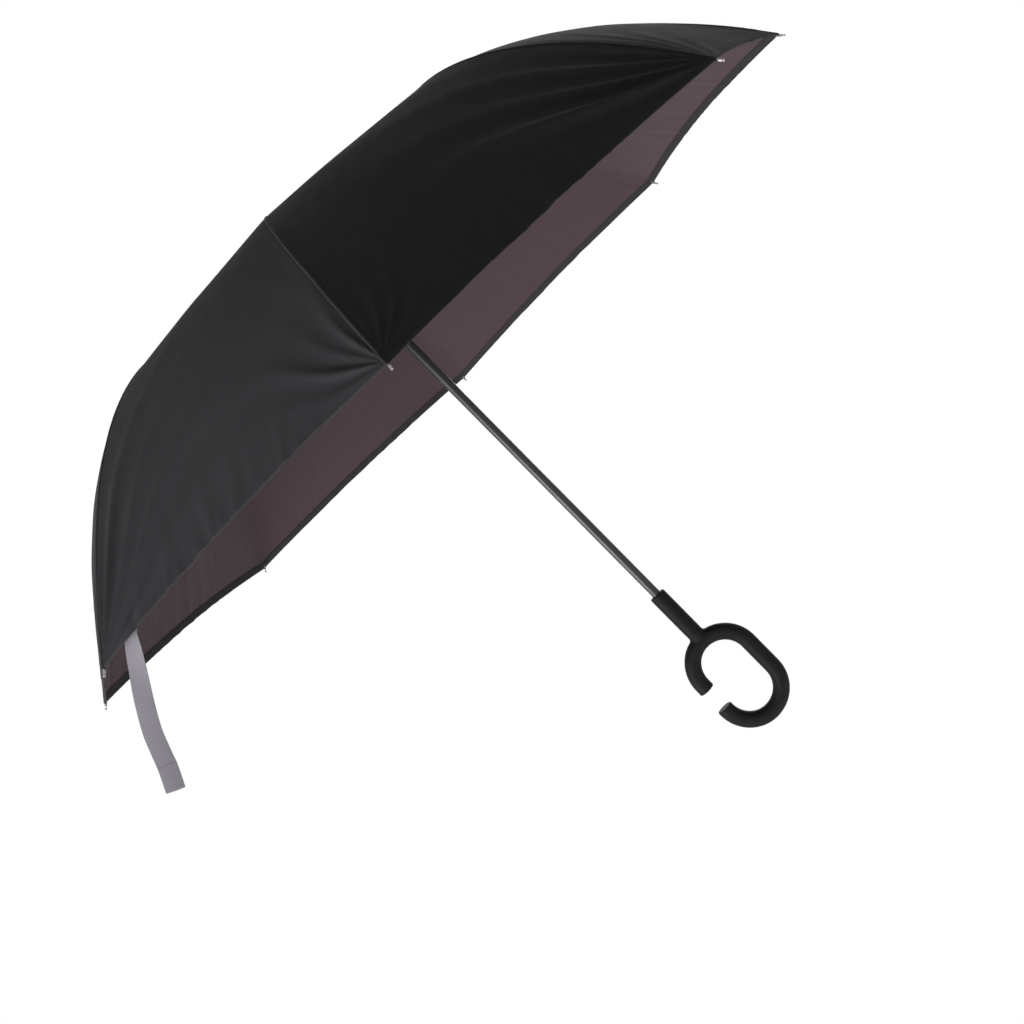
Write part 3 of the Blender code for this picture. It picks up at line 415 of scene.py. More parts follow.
def uneven_gloss(tree, surface, cause, roughness, spread):
    """Let a noise raise and lower a surface's roughness."""
    gloss = add_node(tree, "ShaderNodeMapRange", {
        "Value": cause.outputs["Fac"], "From Min": 0.3, "From Max": 0.7,
        "To Min": roughness - spread, "To Max": roughness + spread})
    tree.links.new(gloss.outputs[0], surface.inputs["Roughness"])


# A wave texture of scale 1 repeats every 0.314 m. Crumples are 17 mm across and clouds of dye 110 mm.
wave_repeat, crumples_per_metre, clouds_per_metre = 0.314, 60.0, 9.0


def woven_cloth(name, colour, shade, roughness, shine, sheen, warp_thread, weft_thread, fleck=0.10):
    """Plain-woven polyester: crossing threads as a fine bump, and uneven dye and wear as a faint cloud."""
    cloth, tree, surface = new_material(name)
    chart = add_node(tree, "ShaderNodeUVMap", uv_map="weave")
    place = add_node(tree, "ShaderNodeTexCoord")
    warp, weft = (
        add_node(tree, "ShaderNodeTexWave", {"Vector": chart.outputs[0], "Scale": wave_repeat / thread},
                 bands_direction=way)
        for way, thread in (("X", warp_thread), ("Y", weft_thread))
    )
    threads = add_node(tree, "ShaderNodeMath", {0: warp.outputs["Fac"], 1: weft.outputs["Fac"]}, operation="MULTIPLY")
    crumple = add_node(tree, "ShaderNodeTexNoise", {
        "Vector": place.outputs["Object"], "Scale": crumples_per_metre, "Detail": 4.0, "Roughness": 0.55})
    cloud = add_node(tree, "ShaderNodeTexNoise", {
        "Vector": place.outputs["Object"], "Scale": clouds_per_metre, "Detail": 3.0})
    dyed = add_node(tree, "ShaderNodeMix", {
        "Factor": cloud.outputs["Fac"], "A": paint(colour), "B": paint(shade)}, data_type="RGBA")
    flecked = add_node(tree, "ShaderNodeMix", {
        "Factor": fleck, "A": dyed.outputs["Result"], "B": threads.outputs[0]}, data_type="RGBA", blend_type="OVERLAY")
    tree.links.new(flecked.outputs["Result"], surface.inputs["Base Color"])
    uneven_gloss(tree, surface, crumple, roughness, 0.04)
    surface.inputs["Specular IOR Level"].default_value = shine
    surface.inputs["Sheen Weight"].default_value = sheen
    surface.inputs["Sheen Roughness"].default_value = 0.45
    fine = add_node(tree, "ShaderNodeBump", {"Height": threads.outputs[0], "Strength": 0.25, "Distance": 0.0001})
    soft = add_node(tree, "ShaderNodeBump", {
        "Height": crumple.outputs["Fac"], "Strength": 0.30, "Distance": 0.0005, "Normal": fine.outputs[0]})
    tree.links.new(soft.outputs[0], surface.inputs["Normal"])
    return cloth


def weave_chart(s, v):
    """The cloth's own map in metres: across from the rib, and out from the crown."""
    return np.stack([v * gore_width(s), s], -1)


def on_sheet(piece, number, body):
    """Let a piece of the canopy follow its arm or rib and draw together with it as the umbrella closes."""
    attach(piece, f"{body}_{number}")
    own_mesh(piece)


# Black pongee is nearly matt, with a faint satin from its calendering that shows the folds. Its threads are
# 0.2 mm apart and are drawn 1.2 mm apart, so that they show in a close view.
drawn_thread = 0.0012
black_pongee = woven_cloth("black pongee", "#3b3a3c", "#373638", 0.76, 0.040, 0.0, drawn_thread, drawn_thread)


def at_radius(s):
    """A row at one radius."""
    return lambda gore, v: (np.full_like(v, s), np.zeros_like(v))


def at_share(t):
    """A row at a share of the way from the knees to the rim."""
    return lambda gore, v: (knee_radius + (rim_radius(gore, v) - knee_radius) * t, np.zeros_like(v))


def round_rim(turn):
    """A row on the rolled edge, turned from the outer face over the rim."""
    return lambda gore, v: (rim_radius(gore, v) + hem_roll * math.sin(turn) + 0 * v,
                            hem_roll * (1 - math.cos(turn)) + 0 * v)


def hem_line(back, depth_of):
    """A row at a distance back from the rim, at the depth that a function gives."""
    def row(gore, v):
        s = rim_radius(gore, v) - back
        return s, depth_of(s, v)
    return row


def inside_hem(back):
    """The hem's inner layer, a distance back from the rim; it stands off the rod where it crosses it."""
    return hem_line(back, lambda s, v: 2 * hem_roll + over_rod(s, v) * min(back / hem_rises, 1))


# Rows and columns of each cloth. The skirt's rows crowd towards the rim, where the folds are finest.
top_steps, skirt_steps, roll_steps, hem_steps, crowding = 36, 84, 6, 7, 1.35
top_columns, skirt_columns = 20, 50
hem_rises = 0.0025
top_rows = [at_radius(cover_hole + (knee_radius - cover_hole) * i / top_steps) for i in range(top_steps + 1)]
skirt_rows = [at_share(1 - (1 - i / skirt_steps) ** crowding) for i in range(skirt_steps + 1)]
skirt_rows += [round_rim(math.pi * i / roll_steps) for i in range(1, roll_steps + 1)]
skirt_rows += [inside_hem(hem_width * i / hem_steps) for i in range(1, hem_steps + 1)]


def lay_cloth(kind, number, body, rows, surface, columns, material):
    """The cloth over one rib or arm, in the place of its solid."""
    points, s, v = sector_grid(number, rows, surface, columns)
    inner = slice(1, -1)
    sheet = cloth_mesh(f"{kind}_cloth_{number}", points[:, inner], grid_normals(points)[:, inner], cloth_thickness,
                       weave_chart(s, v)[:, inner], material)
    on_sheet(sheet, number, body)
    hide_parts(f"{kind}_{number}")


for number in numbers:
    lay_cloth("cover_top", number, "arm", top_rows, cover_surface, top_columns, black_pongee)
    lay_cloth("cover_skirt", number, "ribs", skirt_rows, cover_surface, skirt_columns, black_pongee)


# The lining: eight gores of grey pongee, slacker than the cover. It is gathered on the runner's hub and tied
# to the ribs in two rings, so that it runs in three straight bands, and its edge is tucked under the hem.
lining_hole = 0.0160
lining_gap = 0.0036
outer_tie_gap = 2.2 * lining_gap
lining_clearance = 0.0006
inner_tie_radius, outer_tie_radius = 0.240, 0.360
hem_tuck = 0.0025

# The cloth's bend at a ring is rounded: its straight course is averaged over these shifts.
bend_shifts = (-0.009, -0.0045, 0, 0.0045, 0.009)

# How far the lining hangs between the rings, and its slack, coarse and fine: grain and height.
lining_hang = 0.0040
coarse_sag, fine_sag = (0.085, 0.0016), (0.030, 0.0003)

# Over what lengths its bends, its clearance and its sag fade at the hem, and its sag grows from the hub. The
# clearance grows away from the ribs over a length, from a share of it.
bend_fade, clearance_fade, sag_fade, sag_start = 0.01, 0.006, 0.02, 0.05
clearance_run, clearance_from = 0.030, 0.3

# The lining's ridge over its seams, and its gathers on the hub: height and reach, and folds in a gore.
lining_ridge, hub_gathers, hub_folds = (0.0005, 0.0015), (0.0007, 0.016), 7


def lining_edge(gore, v):
    """The radius where the lining ends, tucked under the hem."""
    return rim_radius(gore, v) - hem_width + hem_tuck


def lining_band(gore, s, v, depth):
    """Points of the lining: straight from ring to ring, with rounded bends, and along the cover in the hem."""
    hem = rim_radius(gore, v) - hem_width
    slope = math.tan(open_angle)
    rings = (
        (lining_hole, runner_z + slope * (lining_hole - pivot_radius) - lining_gap),
        (inner_tie_radius, runner_z + slope * (inner_tie_radius - pivot_radius) - lining_gap),
        (outer_tie_radius, float(cover_height(outer_tie_radius)) - outer_tie_gap),
    )
    radii = [np.full_like(s, radius) for radius, z in rings] + [hem]
    places = [gore_point(gore, np.full_like(s, radius), v, np.zeros_like(s), lambda at, z=z: np.full_like(at, z))
              for radius, z in rings]
    places.append(cover_surface(gore, hem, v, hem_roll + over_rod(hem, v)))
    in_hem = np.maximum(s, hem)
    points = cover_surface(gore, in_hem, v, hem_roll + over_rod(in_hem, v)) - places[3]
    for shift in bend_shifts:
        here = places[0]
        for leg in range(3):
            share = (s + shift * np.clip((hem - s) / bend_fade, 0, 1) - radii[leg]) / (radii[leg + 1] - radii[leg])
            share = np.clip(share, -1 if leg == 0 else 0, 1)
            here = here + (places[leg + 1] - places[leg]) * share[..., None]
        points = points + here / len(bend_shifts)
    points[..., 2] += lining_sag(gore, s, v, hem)
    out = square_to_gore(gore, s, cover_height)
    away = np.clip(from_rib(s, v) / clearance_run - clearance_from, 0, 1)
    apart = lining_clearance * np.clip((hem - s) / clearance_fade, 0, 1) * away
    room = ((cover_surface(gore, s, v, hem_roll + apart + over_rod(s, v)) - points) * out).sum(-1)
    return points - out * np.maximum(depth - room, 0)[..., None]


def lining_sag(gore, s, v, hem):
    """How far the lining hangs under the straight line between its rings, with its gathers at the hub."""
    near = from_rib(s, v)
    spot = np.stack([v * gore_width(s), s, np.full_like(s, gore * 5.1 + 40)], -1)
    free = np.clip((hem - s) / sag_fade, 0, 1) * np.clip((s - lining_hole) / sag_start, 0, 1)
    hang = -lining_hang * 4 * v * (1 - v) * np.sin(math.pi * np.clip(s / hem, 0, 1))
    slack = soft_noise(spot, coarse_sag[0], 8) * coarse_sag[1] + soft_noise(spot, fine_sag[0], 9) * fine_sag[1]
    slack = slack * np.clip(near / held_by_rib, 0, 1)
    ridge = -lining_ridge[0] * np.exp(-(near / lining_ridge[1]) ** 2)
    gathers = hub_gathers[0] * np.cos(v * hub_folds * 2 * math.pi)
    gathers = gathers * np.exp(-np.maximum(s - lining_hole, 0) / hub_gathers[1])
    return (hang + slack + ridge) * free + gathers


# Grey pongee isn't calendered, so it is plainer and has a little more sheen at the edges than the black.
grey_pongee = woven_cloth("grey pongee", "#4c3e43", "#483a3f", 0.66, 0.15, 0.06, drawn_thread, drawn_thread)


def lining_row(t):
    """A row at a share of the way from the hub to the lining's edge."""
    return lambda gore, v: (lining_hole + (lining_edge(gore, v) - lining_hole) * t, np.zeros_like(v))


lining_rows = [lining_row(1 - (1 - i / skirt_steps) ** crowding) for i in range(skirt_steps + 1)]
for number in numbers:
    lay_cloth("lining", number, "ribs", lining_rows, lining_band, skirt_columns, grey_pongee)


# The rods and tips: black fibreglass rods bent under the cover. A nickel-plated steel tip is crimped on
# each: a sleeve, a flattened waist with the slot that the cover's corner is sewn through, and a round end.
rod_sides, rod_steps = 14, 26
rod_start = knee_radius + 0.038
rod_in_tip = 0.002
tip_sleeve = 0.0080
tip_reach = 0.0090
slot_length, slot_width, slot_from_corner, slot_cut = 0.0024, 0.0009, 0.0039, 0.004
sharp_edge = math.radians(40)

# How far a point of the sleeve lies inward for its distance along the tip, and the step that gives the tip's way.
sleeve_inward, way_step = 0.62, 0.0004

# The thread that binds the cover's corner to the tip: turns, place along the tip, radius and how uneven it is.
coil_turns, coil_steps, coil_start, coil_length = 4, 60, 0.0003, 0.0013
coil_radius, coil_uneven, coil_thread, through_slot = 0.0014, 0.0002, 0.00022, 0.0015


def under_cover(s, number=1):
    """The rod's middle under the cover over a rib, turned to lie over the X axis."""
    step = 0.00001
    z = float(cover_height(s))
    slope = (float(cover_height(s + step)) - z) / step
    depth = float(rod_depth(s) - bow_over(number, s))
    size = math.hypot(1, slope)
    return Vector((s + slope * depth / size, 0, z - depth / size))


def round_bar(name, path, radii, sides, material):
    """A closed round bar along a path, with a radius at each point."""
    points, faces = [], []
    last = len(path) - 1
    normal = None
    for i, point in enumerate(path):
        along = (path[min(i + 1, last)] - path[max(i - 1, 0)]).normalized()
        if normal is None:
            normal = along.orthogonal() if abs(along.y) > 0.5 else Vector((0, 1, 0)).cross(along)
        normal = (normal - along * normal.dot(along)).normalized()
        side = along.cross(normal)
        for step in range(sides):
            turn = 2 * math.pi * step / sides
            points.append(point + radii[i] * (math.cos(turn) * normal + math.sin(turn) * side))
    for i in range(last):
        for step in range(sides):
            after = (step + 1) % sides
            faces.append((i * sides + step, i * sides + after, (i + 1) * sides + after, (i + 1) * sides + step))
    faces += [tuple(range(sides - 1, -1, -1)), tuple(last * sides + step for step in range(sides))]
    mesh = bpy.data.meshes.new(name)
    mesh.from_pydata(points, [], faces)
    mesh.shade_smooth()
    mesh.set_sharp_from_angle(angle=sharp_edge)
    mesh.materials.append(material)
    return new_object(name, mesh)


def plain_copy(piece):
    """The piece's mesh with its modifiers worked in."""
    graph = bpy.context.evaluated_depsgraph_get()
    graph.update()
    made = bpy.data.meshes.new_from_object(piece.evaluated_get(graph))
    piece.modifiers.clear()
    piece.data = made
    return piece


# Wear from handling comes in patches 17 mm across.
wear_per_metre = 60.0


def moulded(name, colour, roughness, shine, grain, depth, metallic=0.0, spread=0.05):
    """A moulded or painted surface: fine grain as bump, and slightly uneven gloss from handling."""
    made, tree, surface = new_material(name)
    surface.inputs["Base Color"].default_value = paint(colour)
    surface.inputs["Metallic"].default_value = metallic
    surface.inputs["Specular IOR Level"].default_value = shine
    place = add_node(tree, "ShaderNodeTexCoord")
    speck = add_node(tree, "ShaderNodeTexNoise", {"Vector": place.outputs["Object"], "Scale": 1 / grain, "Detail": 2.0})
    worn = add_node(tree, "ShaderNodeTexNoise", {
        "Vector": place.outputs["Object"], "Scale": wear_per_metre, "Detail": 4.0})
    uneven_gloss(tree, surface, worn, roughness, spread)
    bump = add_node(tree, "ShaderNodeBump", {"Height": speck.outputs["Fac"], "Strength": 0.5, "Distance": depth})
    tree.links.new(bump.outputs[0], surface.inputs["Normal"])
    return made


# Fibreglass has a soft gleam from its resin, nickel plate is bright and a little warm, and thread is matt.
fibreglass = moulded("black fibreglass", "#161617", 0.38, 0.4, 0.0008, 0.00002)
bright_steel = moulded("nickel-plated steel", "#96938f", 0.26, 0.5, 0.0006, 0.00001, 1.0)
black_thread = moulded("black polyester thread", "#242325", 0.62, 0.1, 0.0004, 0.00005)
grey_thread = moulded("grey polyester thread", "#574c51", 0.62, 0.2, 0.0004, 0.00005)

corner = under_cover(tip_radius)
tip_way = (corner - under_cover(tip_radius - way_step)).normalized()
rod_rows = [rod_start + (tip_radius - rod_in_tip - rod_start) * i / rod_steps for i in range(rod_steps + 1)]
tip_shape = (
    (-tip_sleeve, 0.00100), (-tip_sleeve * 0.98, 0.00138), (-0.0010, 0.00136), (0.0002, 0.00120), (0.0012, 0.00098),
    (0.0020, 0.00112), (0.0028, 0.00134), (0.0040, 0.00140), (0.0052, 0.00128), (0.0060, 0.00094),
    (0.0066, 0.00090), (0.0071, 0.00116), (0.0078, 0.00134), (0.0084, 0.00120), (0.0088, 0.00066),
    (tip_reach, 0.00015),
)
tip_path = [under_cover(tip_radius + at * sleeve_inward) if at < 0 else corner + tip_way * at
            for at, radius in tip_shape]
tip_master = round_bar("tip", tip_path, [radius for at, radius in tip_shape], 20, bright_steel)
slot_middle = corner + tip_way * slot_from_corner
slot_up = Vector((0, 1, 0)).cross(tip_way)
cutter = round_bar("slot", [slot_middle - slot_up * slot_cut, slot_middle + slot_up * slot_cut],
                   [slot_length / 2] * 2, 16, bright_steel)
for vertex in cutter.data.vertices:
    vertex.co.y *= slot_width / slot_length
cut_slot = tip_master.modifiers.new("slot", "BOOLEAN")
cut_slot.object, cut_slot.operation, cut_slot.solver = cutter, "DIFFERENCE", "EXACT"
plain_copy(tip_master)
bpy.data.objects.remove(cutter, do_unlink=True)
coil = []
for i in range(coil_steps + 1):
    turn = i / coil_steps * coil_turns * 2 * math.pi
    spread = coil_radius + coil_uneven * math.sin(turn * 0.5)
    coil.append(corner + tip_way * (coil_start + coil_length * i / coil_steps)
                + spread * (math.cos(turn) * slot_up + math.sin(turn) * Vector((0, 1, 0))))
coil += [slot_middle + slot_up * through_slot, slot_middle - slot_up * through_slot]

for number in numbers:
    about = Matrix.Rotation(rib_turn(number), 4, "Z")
    rod = round_bar(f"rod_{number}", [about @ under_cover(s, number) for s in rod_rows],
                    [float(rod_radius(s)) for s in rod_rows], rod_sides, fibreglass)
    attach(rod, f"ribs_{number}")
    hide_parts(f"rib_rod_{number}")
    tip_data = tip_master.data.copy()
    tip_data.transform(about)
    tip = new_object(f"tip_{number}", tip_data)
    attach(tip, f"ribs_{number}")
    binding = round_bar(f"corner_thread_{number}", [about @ point for point in coil], [coil_thread] * len(coil), 6,
                        black_thread)
    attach(binding, f"ribs_{number}")
bpy.data.objects.remove(tip_master, do_unlink=True)


# The sewing: the seams between the gores are stitched down on both sides of each rib, the hem is stitched
# at its inner edge, and the lining's seams have one line of stitches.
stitch_pitch = 0.0027
stitch_size = (0.0019, 0.00024)
seam_stitch, lining_stitch = 0.0021, 0.0016
hem_stitch = 0.0012
seam_points, hem_points = 90, 60

# Where the stitches over a rib begin and end: clear of the cap, the knees and the rim, of the hub and the hem.
seam_from, seam_off_knee, seam_off_rim = 0.014, 0.001, 0.006
lining_seam_from, lining_seam_off_hem = 0.030, 0.0005


def stitch_tree():
    """Stitches laid end to end along lines."""
    tree = bpy.data.node_groups.new("stitches along a line", "GeometryNodeTree")
    face = tree.interface
    face.new_socket("Lines", in_out="INPUT", socket_type="NodeSocketGeometry")
    face.new_socket("Stitches", in_out="OUTPUT", socket_type="NodeSocketGeometry")
    for label in ("Pitch", "Stitch length", "Thread thickness"):
        face.new_socket(label, in_out="INPUT", socket_type="NodeSocketFloat")
    face.new_socket("Thread", in_out="INPUT", socket_type="NodeSocketMaterial")
    given = add_node(tree, "NodeGroupInput").outputs
    lines = add_node(tree, "GeometryNodeMeshToCurve", {"Mesh": given["Lines"]})
    spaced = add_node(tree, "GeometryNodeResampleCurve", {"Curve": lines.outputs[0], "Length": given["Pitch"]},
                      mode="LENGTH")
    ball = add_node(tree, "GeometryNodeMeshUVSphere", {"Segments": 6, "Rings": 4, "Radius": 0.5})
    size = add_node(tree, "ShaderNodeCombineXYZ", {
        "X": given["Thread thickness"], "Y": given["Thread thickness"], "Z": given["Stitch length"]})
    stitch = add_node(tree, "GeometryNodeTransform", {"Geometry": ball.outputs["Mesh"], "Scale": size.outputs[0]})
    along = add_node(tree, "GeometryNodeInputTangent")
    laid = add_node(tree, "FunctionNodeAlignRotationToVector", {"Vector": along.outputs[0]}, axis="Z")
    placed = add_node(tree, "GeometryNodeInstanceOnPoints",
                      {"Points": spaced.outputs[0], "Instance": stitch.outputs[0], "Rotation": laid.outputs[0]})
    real = add_node(tree, "GeometryNodeRealizeInstances", {"Geometry": placed.outputs[0]})
    smooth = add_node(tree, "GeometryNodeSetShadeSmooth", {"Geometry": real.outputs[0]})
    dyed = add_node(tree, "GeometryNodeSetMaterial", {"Geometry": smooth.outputs[0], "Material": given["Thread"]})
    add_node(tree, "NodeGroupOutput", {"Stitches": dyed.outputs[0]})
    return tree


stitches_along = stitch_tree()


def sew(name, lines, thread, length=stitch_size[0], thickness=stitch_size[1], pitch=stitch_pitch):
    """A row of stitches along each line of points."""
    points, edges = [], []
    for line in lines:
        start = len(points)
        points += [tuple(point) for point in line]
        edges += [(start + i, start + i + 1) for i in range(len(line) - 1)]
    mesh = bpy.data.meshes.new(name)
    mesh.from_pydata(points, edges, [])
    made = new_object(name, mesh)
    sewing = made.modifiers.new("stitches", "NODES")
    values = {"Pitch": pitch, "Stitch length": length, "Thread thickness": thickness, "Thread": thread}
    sockets = {item.name: item.identifier for item in stitches_along.interface.items_tree if item.in_out == "INPUT"}
    sewing.node_group = stitches_along
    for label, value in values.items():
        sewing[sockets[label]] = value
    return plain_copy(made)


def seam_lines(number, start, end, across, surface, depth):
    """Lines beside a rib, one on each side of it."""
    s = np.linspace(start, end, seam_points)
    v = across / gore_width(s)
    before = (number - 2) % rib_count + 1
    low = np.full_like(s, depth)
    return [surface(number, s, v, low), surface(before, s, 1 - v, low)]


top_face = -cloth_thickness / 2
for number in numbers:
    top_lines = seam_lines(number, seam_from, knee_radius - seam_off_knee, seam_stitch, cover_surface, top_face)
    top_seams = sew(f"top_seam_{number}", top_lines, black_thread)
    on_sheet(top_seams, number, "arm")
    outer = hem_line(hem_width - hem_stitch, lambda s, v: np.full_like(s, top_face))
    inner = hem_line(hem_width - hem_stitch, lambda s, v: 2 * hem_roll + over_rod(s, v) + cloth_thickness / 2)
    hems = [sector_grid(number, [row], cover_surface, hem_points, 1.0)[0][0] for row in (outer, inner)]
    skirt_lines = seam_lines(number, knee_radius + seam_off_knee, tip_radius - seam_off_rim, seam_stitch,
                             cover_surface, top_face)
    skirt_seams = sew(f"skirt_seam_{number}", skirt_lines + hems, black_thread)
    on_sheet(skirt_seams, number, "ribs")
    lining_line = seam_lines(number, lining_seam_from, tip_radius - hem_width - lining_seam_off_hem, lining_stitch,
                             lining_band, 0.0)[0]
    lining_line[:, 2] -= cloth_thickness / 2
    lining_seams = sew(f"lining_seam_{number}", [lining_line], grey_thread)
    on_sheet(lining_seams, number, "ribs")


# The closing strap: a ribbon of grey polyester webbing, sewn inside the hem beside rib 8. It hangs free with
# a slight wave, and its end is turned up double and stitched across.
strap_width = 0.017
strap_sewn = 0.0065
strap_offset = 0.0450
strap_turn_up = 0.0190
strap_fold, strap_seat, strap_at_rim = 0.0007, 0.0008, 0.0005
strap_step = 0.0011
strap_rib = 8

# Where the ribbon hangs and which way its width points, in the frame of rib 8: out, sideways, up. Its lower
# half turns a little about its own length.
strap_fall = (
    (0.5155, 0.0461, 0.3843), (0.5268, 0.0370, 0.3622), (0.5380, 0.0280, 0.3401), (0.5484, 0.0198, 0.3170),
    (0.5541, 0.0156, 0.2998), (0.5590, 0.0120, 0.2840), (0.5660, 0.0066, 0.2655),
)
strap_twist = math.radians(8)
strap_across = (-0.50, 0.505, -0.70)

# Where along the ribbon it starts to turn from lying on the hem to hanging, and to twist, and over what length.
strap_hangs, strap_twists = (0.008, 0.060), (0.070, 0.060)
strap_columns, strap_thickness, strap_cup, cup_run = 11, 0.0006, 0.0004, 0.03
strap_stitch, strap_thread, strap_pitch = 0.0015, 0.00035, 0.0021


def smooth_route(points, step):
    """Evenly spaced points on a smooth curve through the given ones."""
    points = [points[0] * 2 - points[1]] + points + [points[-1] * 2 - points[-2]]
    dense, parts = [], 40
    for a, b, c, d in zip(points, points[1:], points[2:], points[3:]):
        for t in (i / parts for i in range(parts)):
            dense.append((b * 2 + (c - a) * t + (a * 2 - b * 5 + c * 4 - d) * t ** 2
                          + (b * 3 - a - c * 3 + d) * t ** 3) / 2)
    dense.append(points[-2])
    even, travelled = [dense[0]], 0
    for a, b in zip(dense, dense[1:]):
        travelled += (b - a).length
        if travelled >= step:
            even.append(b)
            travelled = 0
    return even


def strap_route():
    """The ribbon's middle line and its directions across, from its sewn end to the end that is turned up."""
    v = strap_offset / gore_width(tip_radius)
    rim = float(rim_radius(strap_rib, np.array(v)))
    about = Matrix.Rotation(-rib_turn(strap_rib), 3, "Z")
    seat = 2 * hem_roll + strap_seat
    sewn = [about @ Vector(cover_surface(strap_rib, np.array([rim - back]), np.array([v]), np.array([seat]))[0])
            for back in (strap_sewn, strap_sewn / 2, strap_at_rim)]
    route = smooth_route(sewn + [Vector(point) for point in strap_fall], strap_step)
    flat, hanging = Vector((-math.tan(half_gore), 1, 0)), Vector(strap_across)
    ways = []
    for i in range(len(route)):
        turned = min(max((i * strap_step - strap_hangs[0]) / strap_hangs[1], 0), 1)
        way = flat.normalized().lerp(hanging, turned * turned * (3 - 2 * turned))
        along = (route[min(i + 1, len(route) - 1)] - route[max(i - 1, 0)]).normalized()
        way = (way - along * way.dot(along)).normalized()
        twist = strap_twist * min(max((i * strap_step - strap_twists[0]) / strap_twists[1], 0), 1)
        ways.append(way * math.cos(twist) + way.cross(along) * math.sin(twist))
    back_up = int(strap_turn_up / strap_step)
    end, way = route[-1], ways[-1]
    along = (end - route[-3]).normalized()
    behind = (way - along * way.dot(along)).normalized().cross(along)
    bend = [end + along * strap_fold * math.sin(t) + behind * strap_fold * (1 - math.cos(t))
            for t in (math.pi / 4, math.pi / 2, 3 * math.pi / 4, math.pi)]
    doubled = [point + behind * strap_fold * 2 for point in route[-2:-2 - back_up:-1]]
    return route + bend + doubled, ways + [way] * (len(bend) + len(doubled)), len(route)


# Polyester webbing has thick threads that catch the light one by one, 1.2 mm apart across and 0.6 mm along.
webbing = woven_cloth("grey webbing", "#8f8b93", "#7d7981", 0.60, 0.30, 0.12, 0.0012, 0.0006, 0.16)
middle_line, across_ways, folded_at = strap_route()
ribbon = np.zeros((len(middle_line), strap_columns, 3))
travel = np.zeros(len(middle_line))
for i, point in enumerate(middle_line):
    before, after = middle_line[max(i - 1, 0)], middle_line[min(i + 1, len(middle_line) - 1)]
    along = (after - before).normalized()
    across = (across_ways[i] - along * across_ways[i].dot(along)).normalized()
    facing = across.cross(along)
    if i:
        travel[i] = travel[i - 1] + (point - middle_line[i - 1]).length
    for j in range(strap_columns):
        u = 2 * j / (strap_columns - 1) - 1
        cup = strap_cup * u * u * min(travel[i] / cup_run, 1)
        ribbon[i, j] = point + across * strap_width / 2 * u + facing * cup
ribbon = ribbon @ np.array(Matrix.Rotation(rib_turn(strap_rib), 3, "Z")).T
strap_chart = np.stack(np.meshgrid(np.linspace(-1, 1, strap_columns) * strap_width / 2, travel), -1)
strap_normals = grid_normals(ribbon)
strap = cloth_mesh("closing_strap", ribbon, strap_normals, strap_thickness, strap_chart, webbing)
on_sheet(strap, strap_rib, "ribs")
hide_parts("strap")
turn_up_row = folded_at + 1 - int(strap_turn_up / strap_step)
across_lines = [
    [ribbon[row, j] + strap_normals[row, j] * face * strap_thread for j in range(1, strap_columns - 1)]
    for row, face in ((turn_up_row, 1), (turn_up_row, -1), (2, 1), (2, -1))
]
strap_stitches = sew("strap_stitches", across_lines, grey_thread, strap_stitch, strap_thread, strap_pitch)
on_sheet(strap_stitches, strap_rib, "ribs")


# The arms and hubs: blackened steel channels riveted at the knees, nylon hubs with their rings of wire, the
# painted tube and the red button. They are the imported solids, with the finish of each real piece.
def dress(nodes, material):
    """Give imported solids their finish."""
    for name in nodes:
        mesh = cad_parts[name].data
        mesh.materials.clear()
        mesh.materials.append(material)


# Enamel on steel is smooth and glossy, nylon is duller with a fine grain, and the red button is polished.
black_steel = moulded("black enamelled steel", "#161517", 0.32, 0.45, 0.0012, 0.00002)
shaft_steel = moulded("black enamelled tube", "#2c2a2c", 0.34, 0.4, 0.0010, 0.000003)
nylon = moulded("black nylon", "#171618", 0.48, 0.35, 0.0007, 0.00003)
red_plastic = moulded("red moulded plastic", "#cf1226", 0.28, 0.5, 0.0009, 0.00001)
dress(["shaft"], shaft_steel)
dress([f"{n}_{k}" for n in ("rib", "stretcher") for k in numbers], black_steel)
dress(["crown_wire", "runner_wire", "grip_pin", "shaft_catch", "button_spring"], bright_steel)
dress(["crown", "runner", "top_cap"], nylon)
dress(["release_button"], red_plastic)


# The grip: one moulding of matt soft-touch rubber. A straight neck takes the shaft and runs with rounded
# corners into a C that is open on one side, with its ends cut square and their edges eased. Its loop is
# a little thicker and reaches higher here than in the solid, as in the photograph.
neck_top, neck_radius = 0.036, 0.0097
grip_radius, bend_radius, mouth_bend, grip_straight, grip_mouth = 0.0096, 0.0368, 0.0354, 0.0317, 0.0274
grip_middle = -0.0801 - grip_straight / 2
grip_rise, grip_drop = 0.0060, 0.0012
grip_voxel, grip_sides, bend_steps = 0.0007, 48, 48
end_bevel = 0.0006
corner_reach, corner_passes = 0.0090, 60


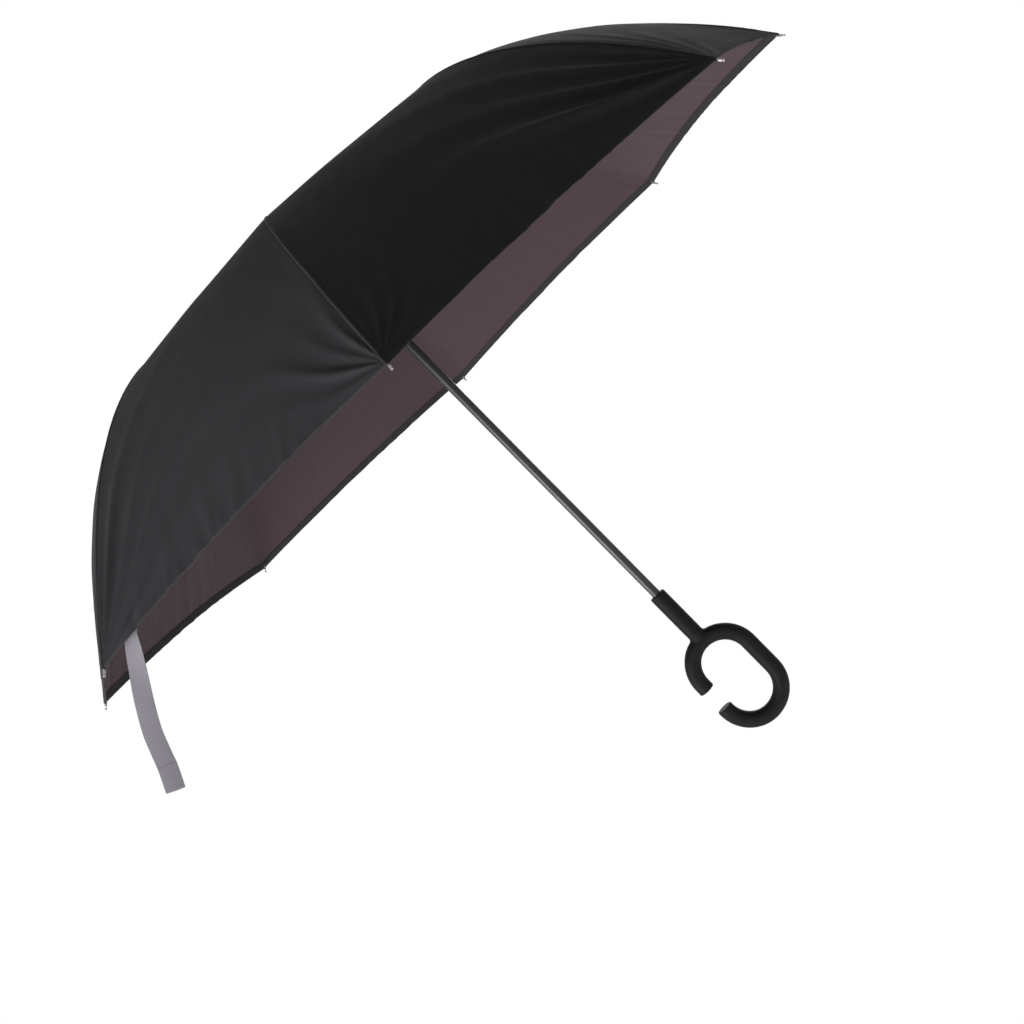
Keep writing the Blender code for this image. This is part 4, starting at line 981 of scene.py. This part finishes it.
def grip_line(steps):
    """The C's middle line, from the upper end of its mouth round to the lower one."""
    upper, lower = grip_middle + grip_straight / 2 + grip_rise, grip_middle - grip_straight / 2 - grip_drop
    line = [Vector((-mouth_bend, 0, grip_middle + grip_mouth / 2))]
    for centre, start in ((upper, math.pi), (lower, 0)):
        turns = [start - math.pi * i / steps for i in range(steps + 1)]
        line += [Vector(((bend_radius if math.cos(t) > 0 else mouth_bend) * math.cos(t), 0,
                         centre + bend_radius * math.sin(t))) for t in turns]
    return line + [Vector((-mouth_bend, 0, grip_middle - grip_mouth / 2))]


# Soft-touch rubber is matt and takes up nearly all light, with a grain of half a millimetre.
rubber = moulded("soft-touch rubber", "#191718", 0.60, 0.10, 0.0005, 0.00004)
loop_line = grip_line(bend_steps)
loop_top = grip_middle + grip_straight / 2 + grip_rise + bend_radius
grip = round_bar("grip", loop_line, [grip_radius] * len(loop_line), grip_sides, rubber)
neck_shape = [(loop_top, neck_radius * 0.9), (loop_top + grip_radius * 0.5, neck_radius), (0, neck_radius),
              (neck_top - end_bevel, neck_radius), (neck_top, neck_radius - end_bevel)]
neck = round_bar("neck", [Vector((0, 0, z)) for z, radius in neck_shape], [radius for z, radius in neck_shape],
                 grip_sides, rubber)
with bpy.context.temp_override(active_object=grip, selected_editable_objects=[grip, neck],
                               selected_objects=[grip, neck]):
    bpy.ops.object.join()
fuse = grip.modifiers.new("fuse", "REMESH")
fuse.mode, fuse.voxel_size, fuse.use_smooth_shade = "VOXEL", grip_voxel, True
ease = grip.modifiers.new("ease", "SMOOTH")
ease.factor, ease.iterations = 0.5, 12
plain_copy(grip)
corners = grip.vertex_groups.new(name="corners")
for vertex in grip.data.vertices:
    x, y, z = vertex.co
    away = math.hypot(abs(x) - neck_radius, z - loop_top - grip_radius * 0.9)
    if away < corner_reach:
        corners.add([vertex.index], min(1, 2 - 2 * away / corner_reach), "REPLACE")
round_off = grip.modifiers.new("round off", "SMOOTH")
round_off.factor, round_off.iterations, round_off.vertex_group = 0.5, corner_passes, "corners"
plain_copy(grip)
grip.data.materials.clear()
grip.data.materials.append(rubber)
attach(grip, "frame")
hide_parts("handle")
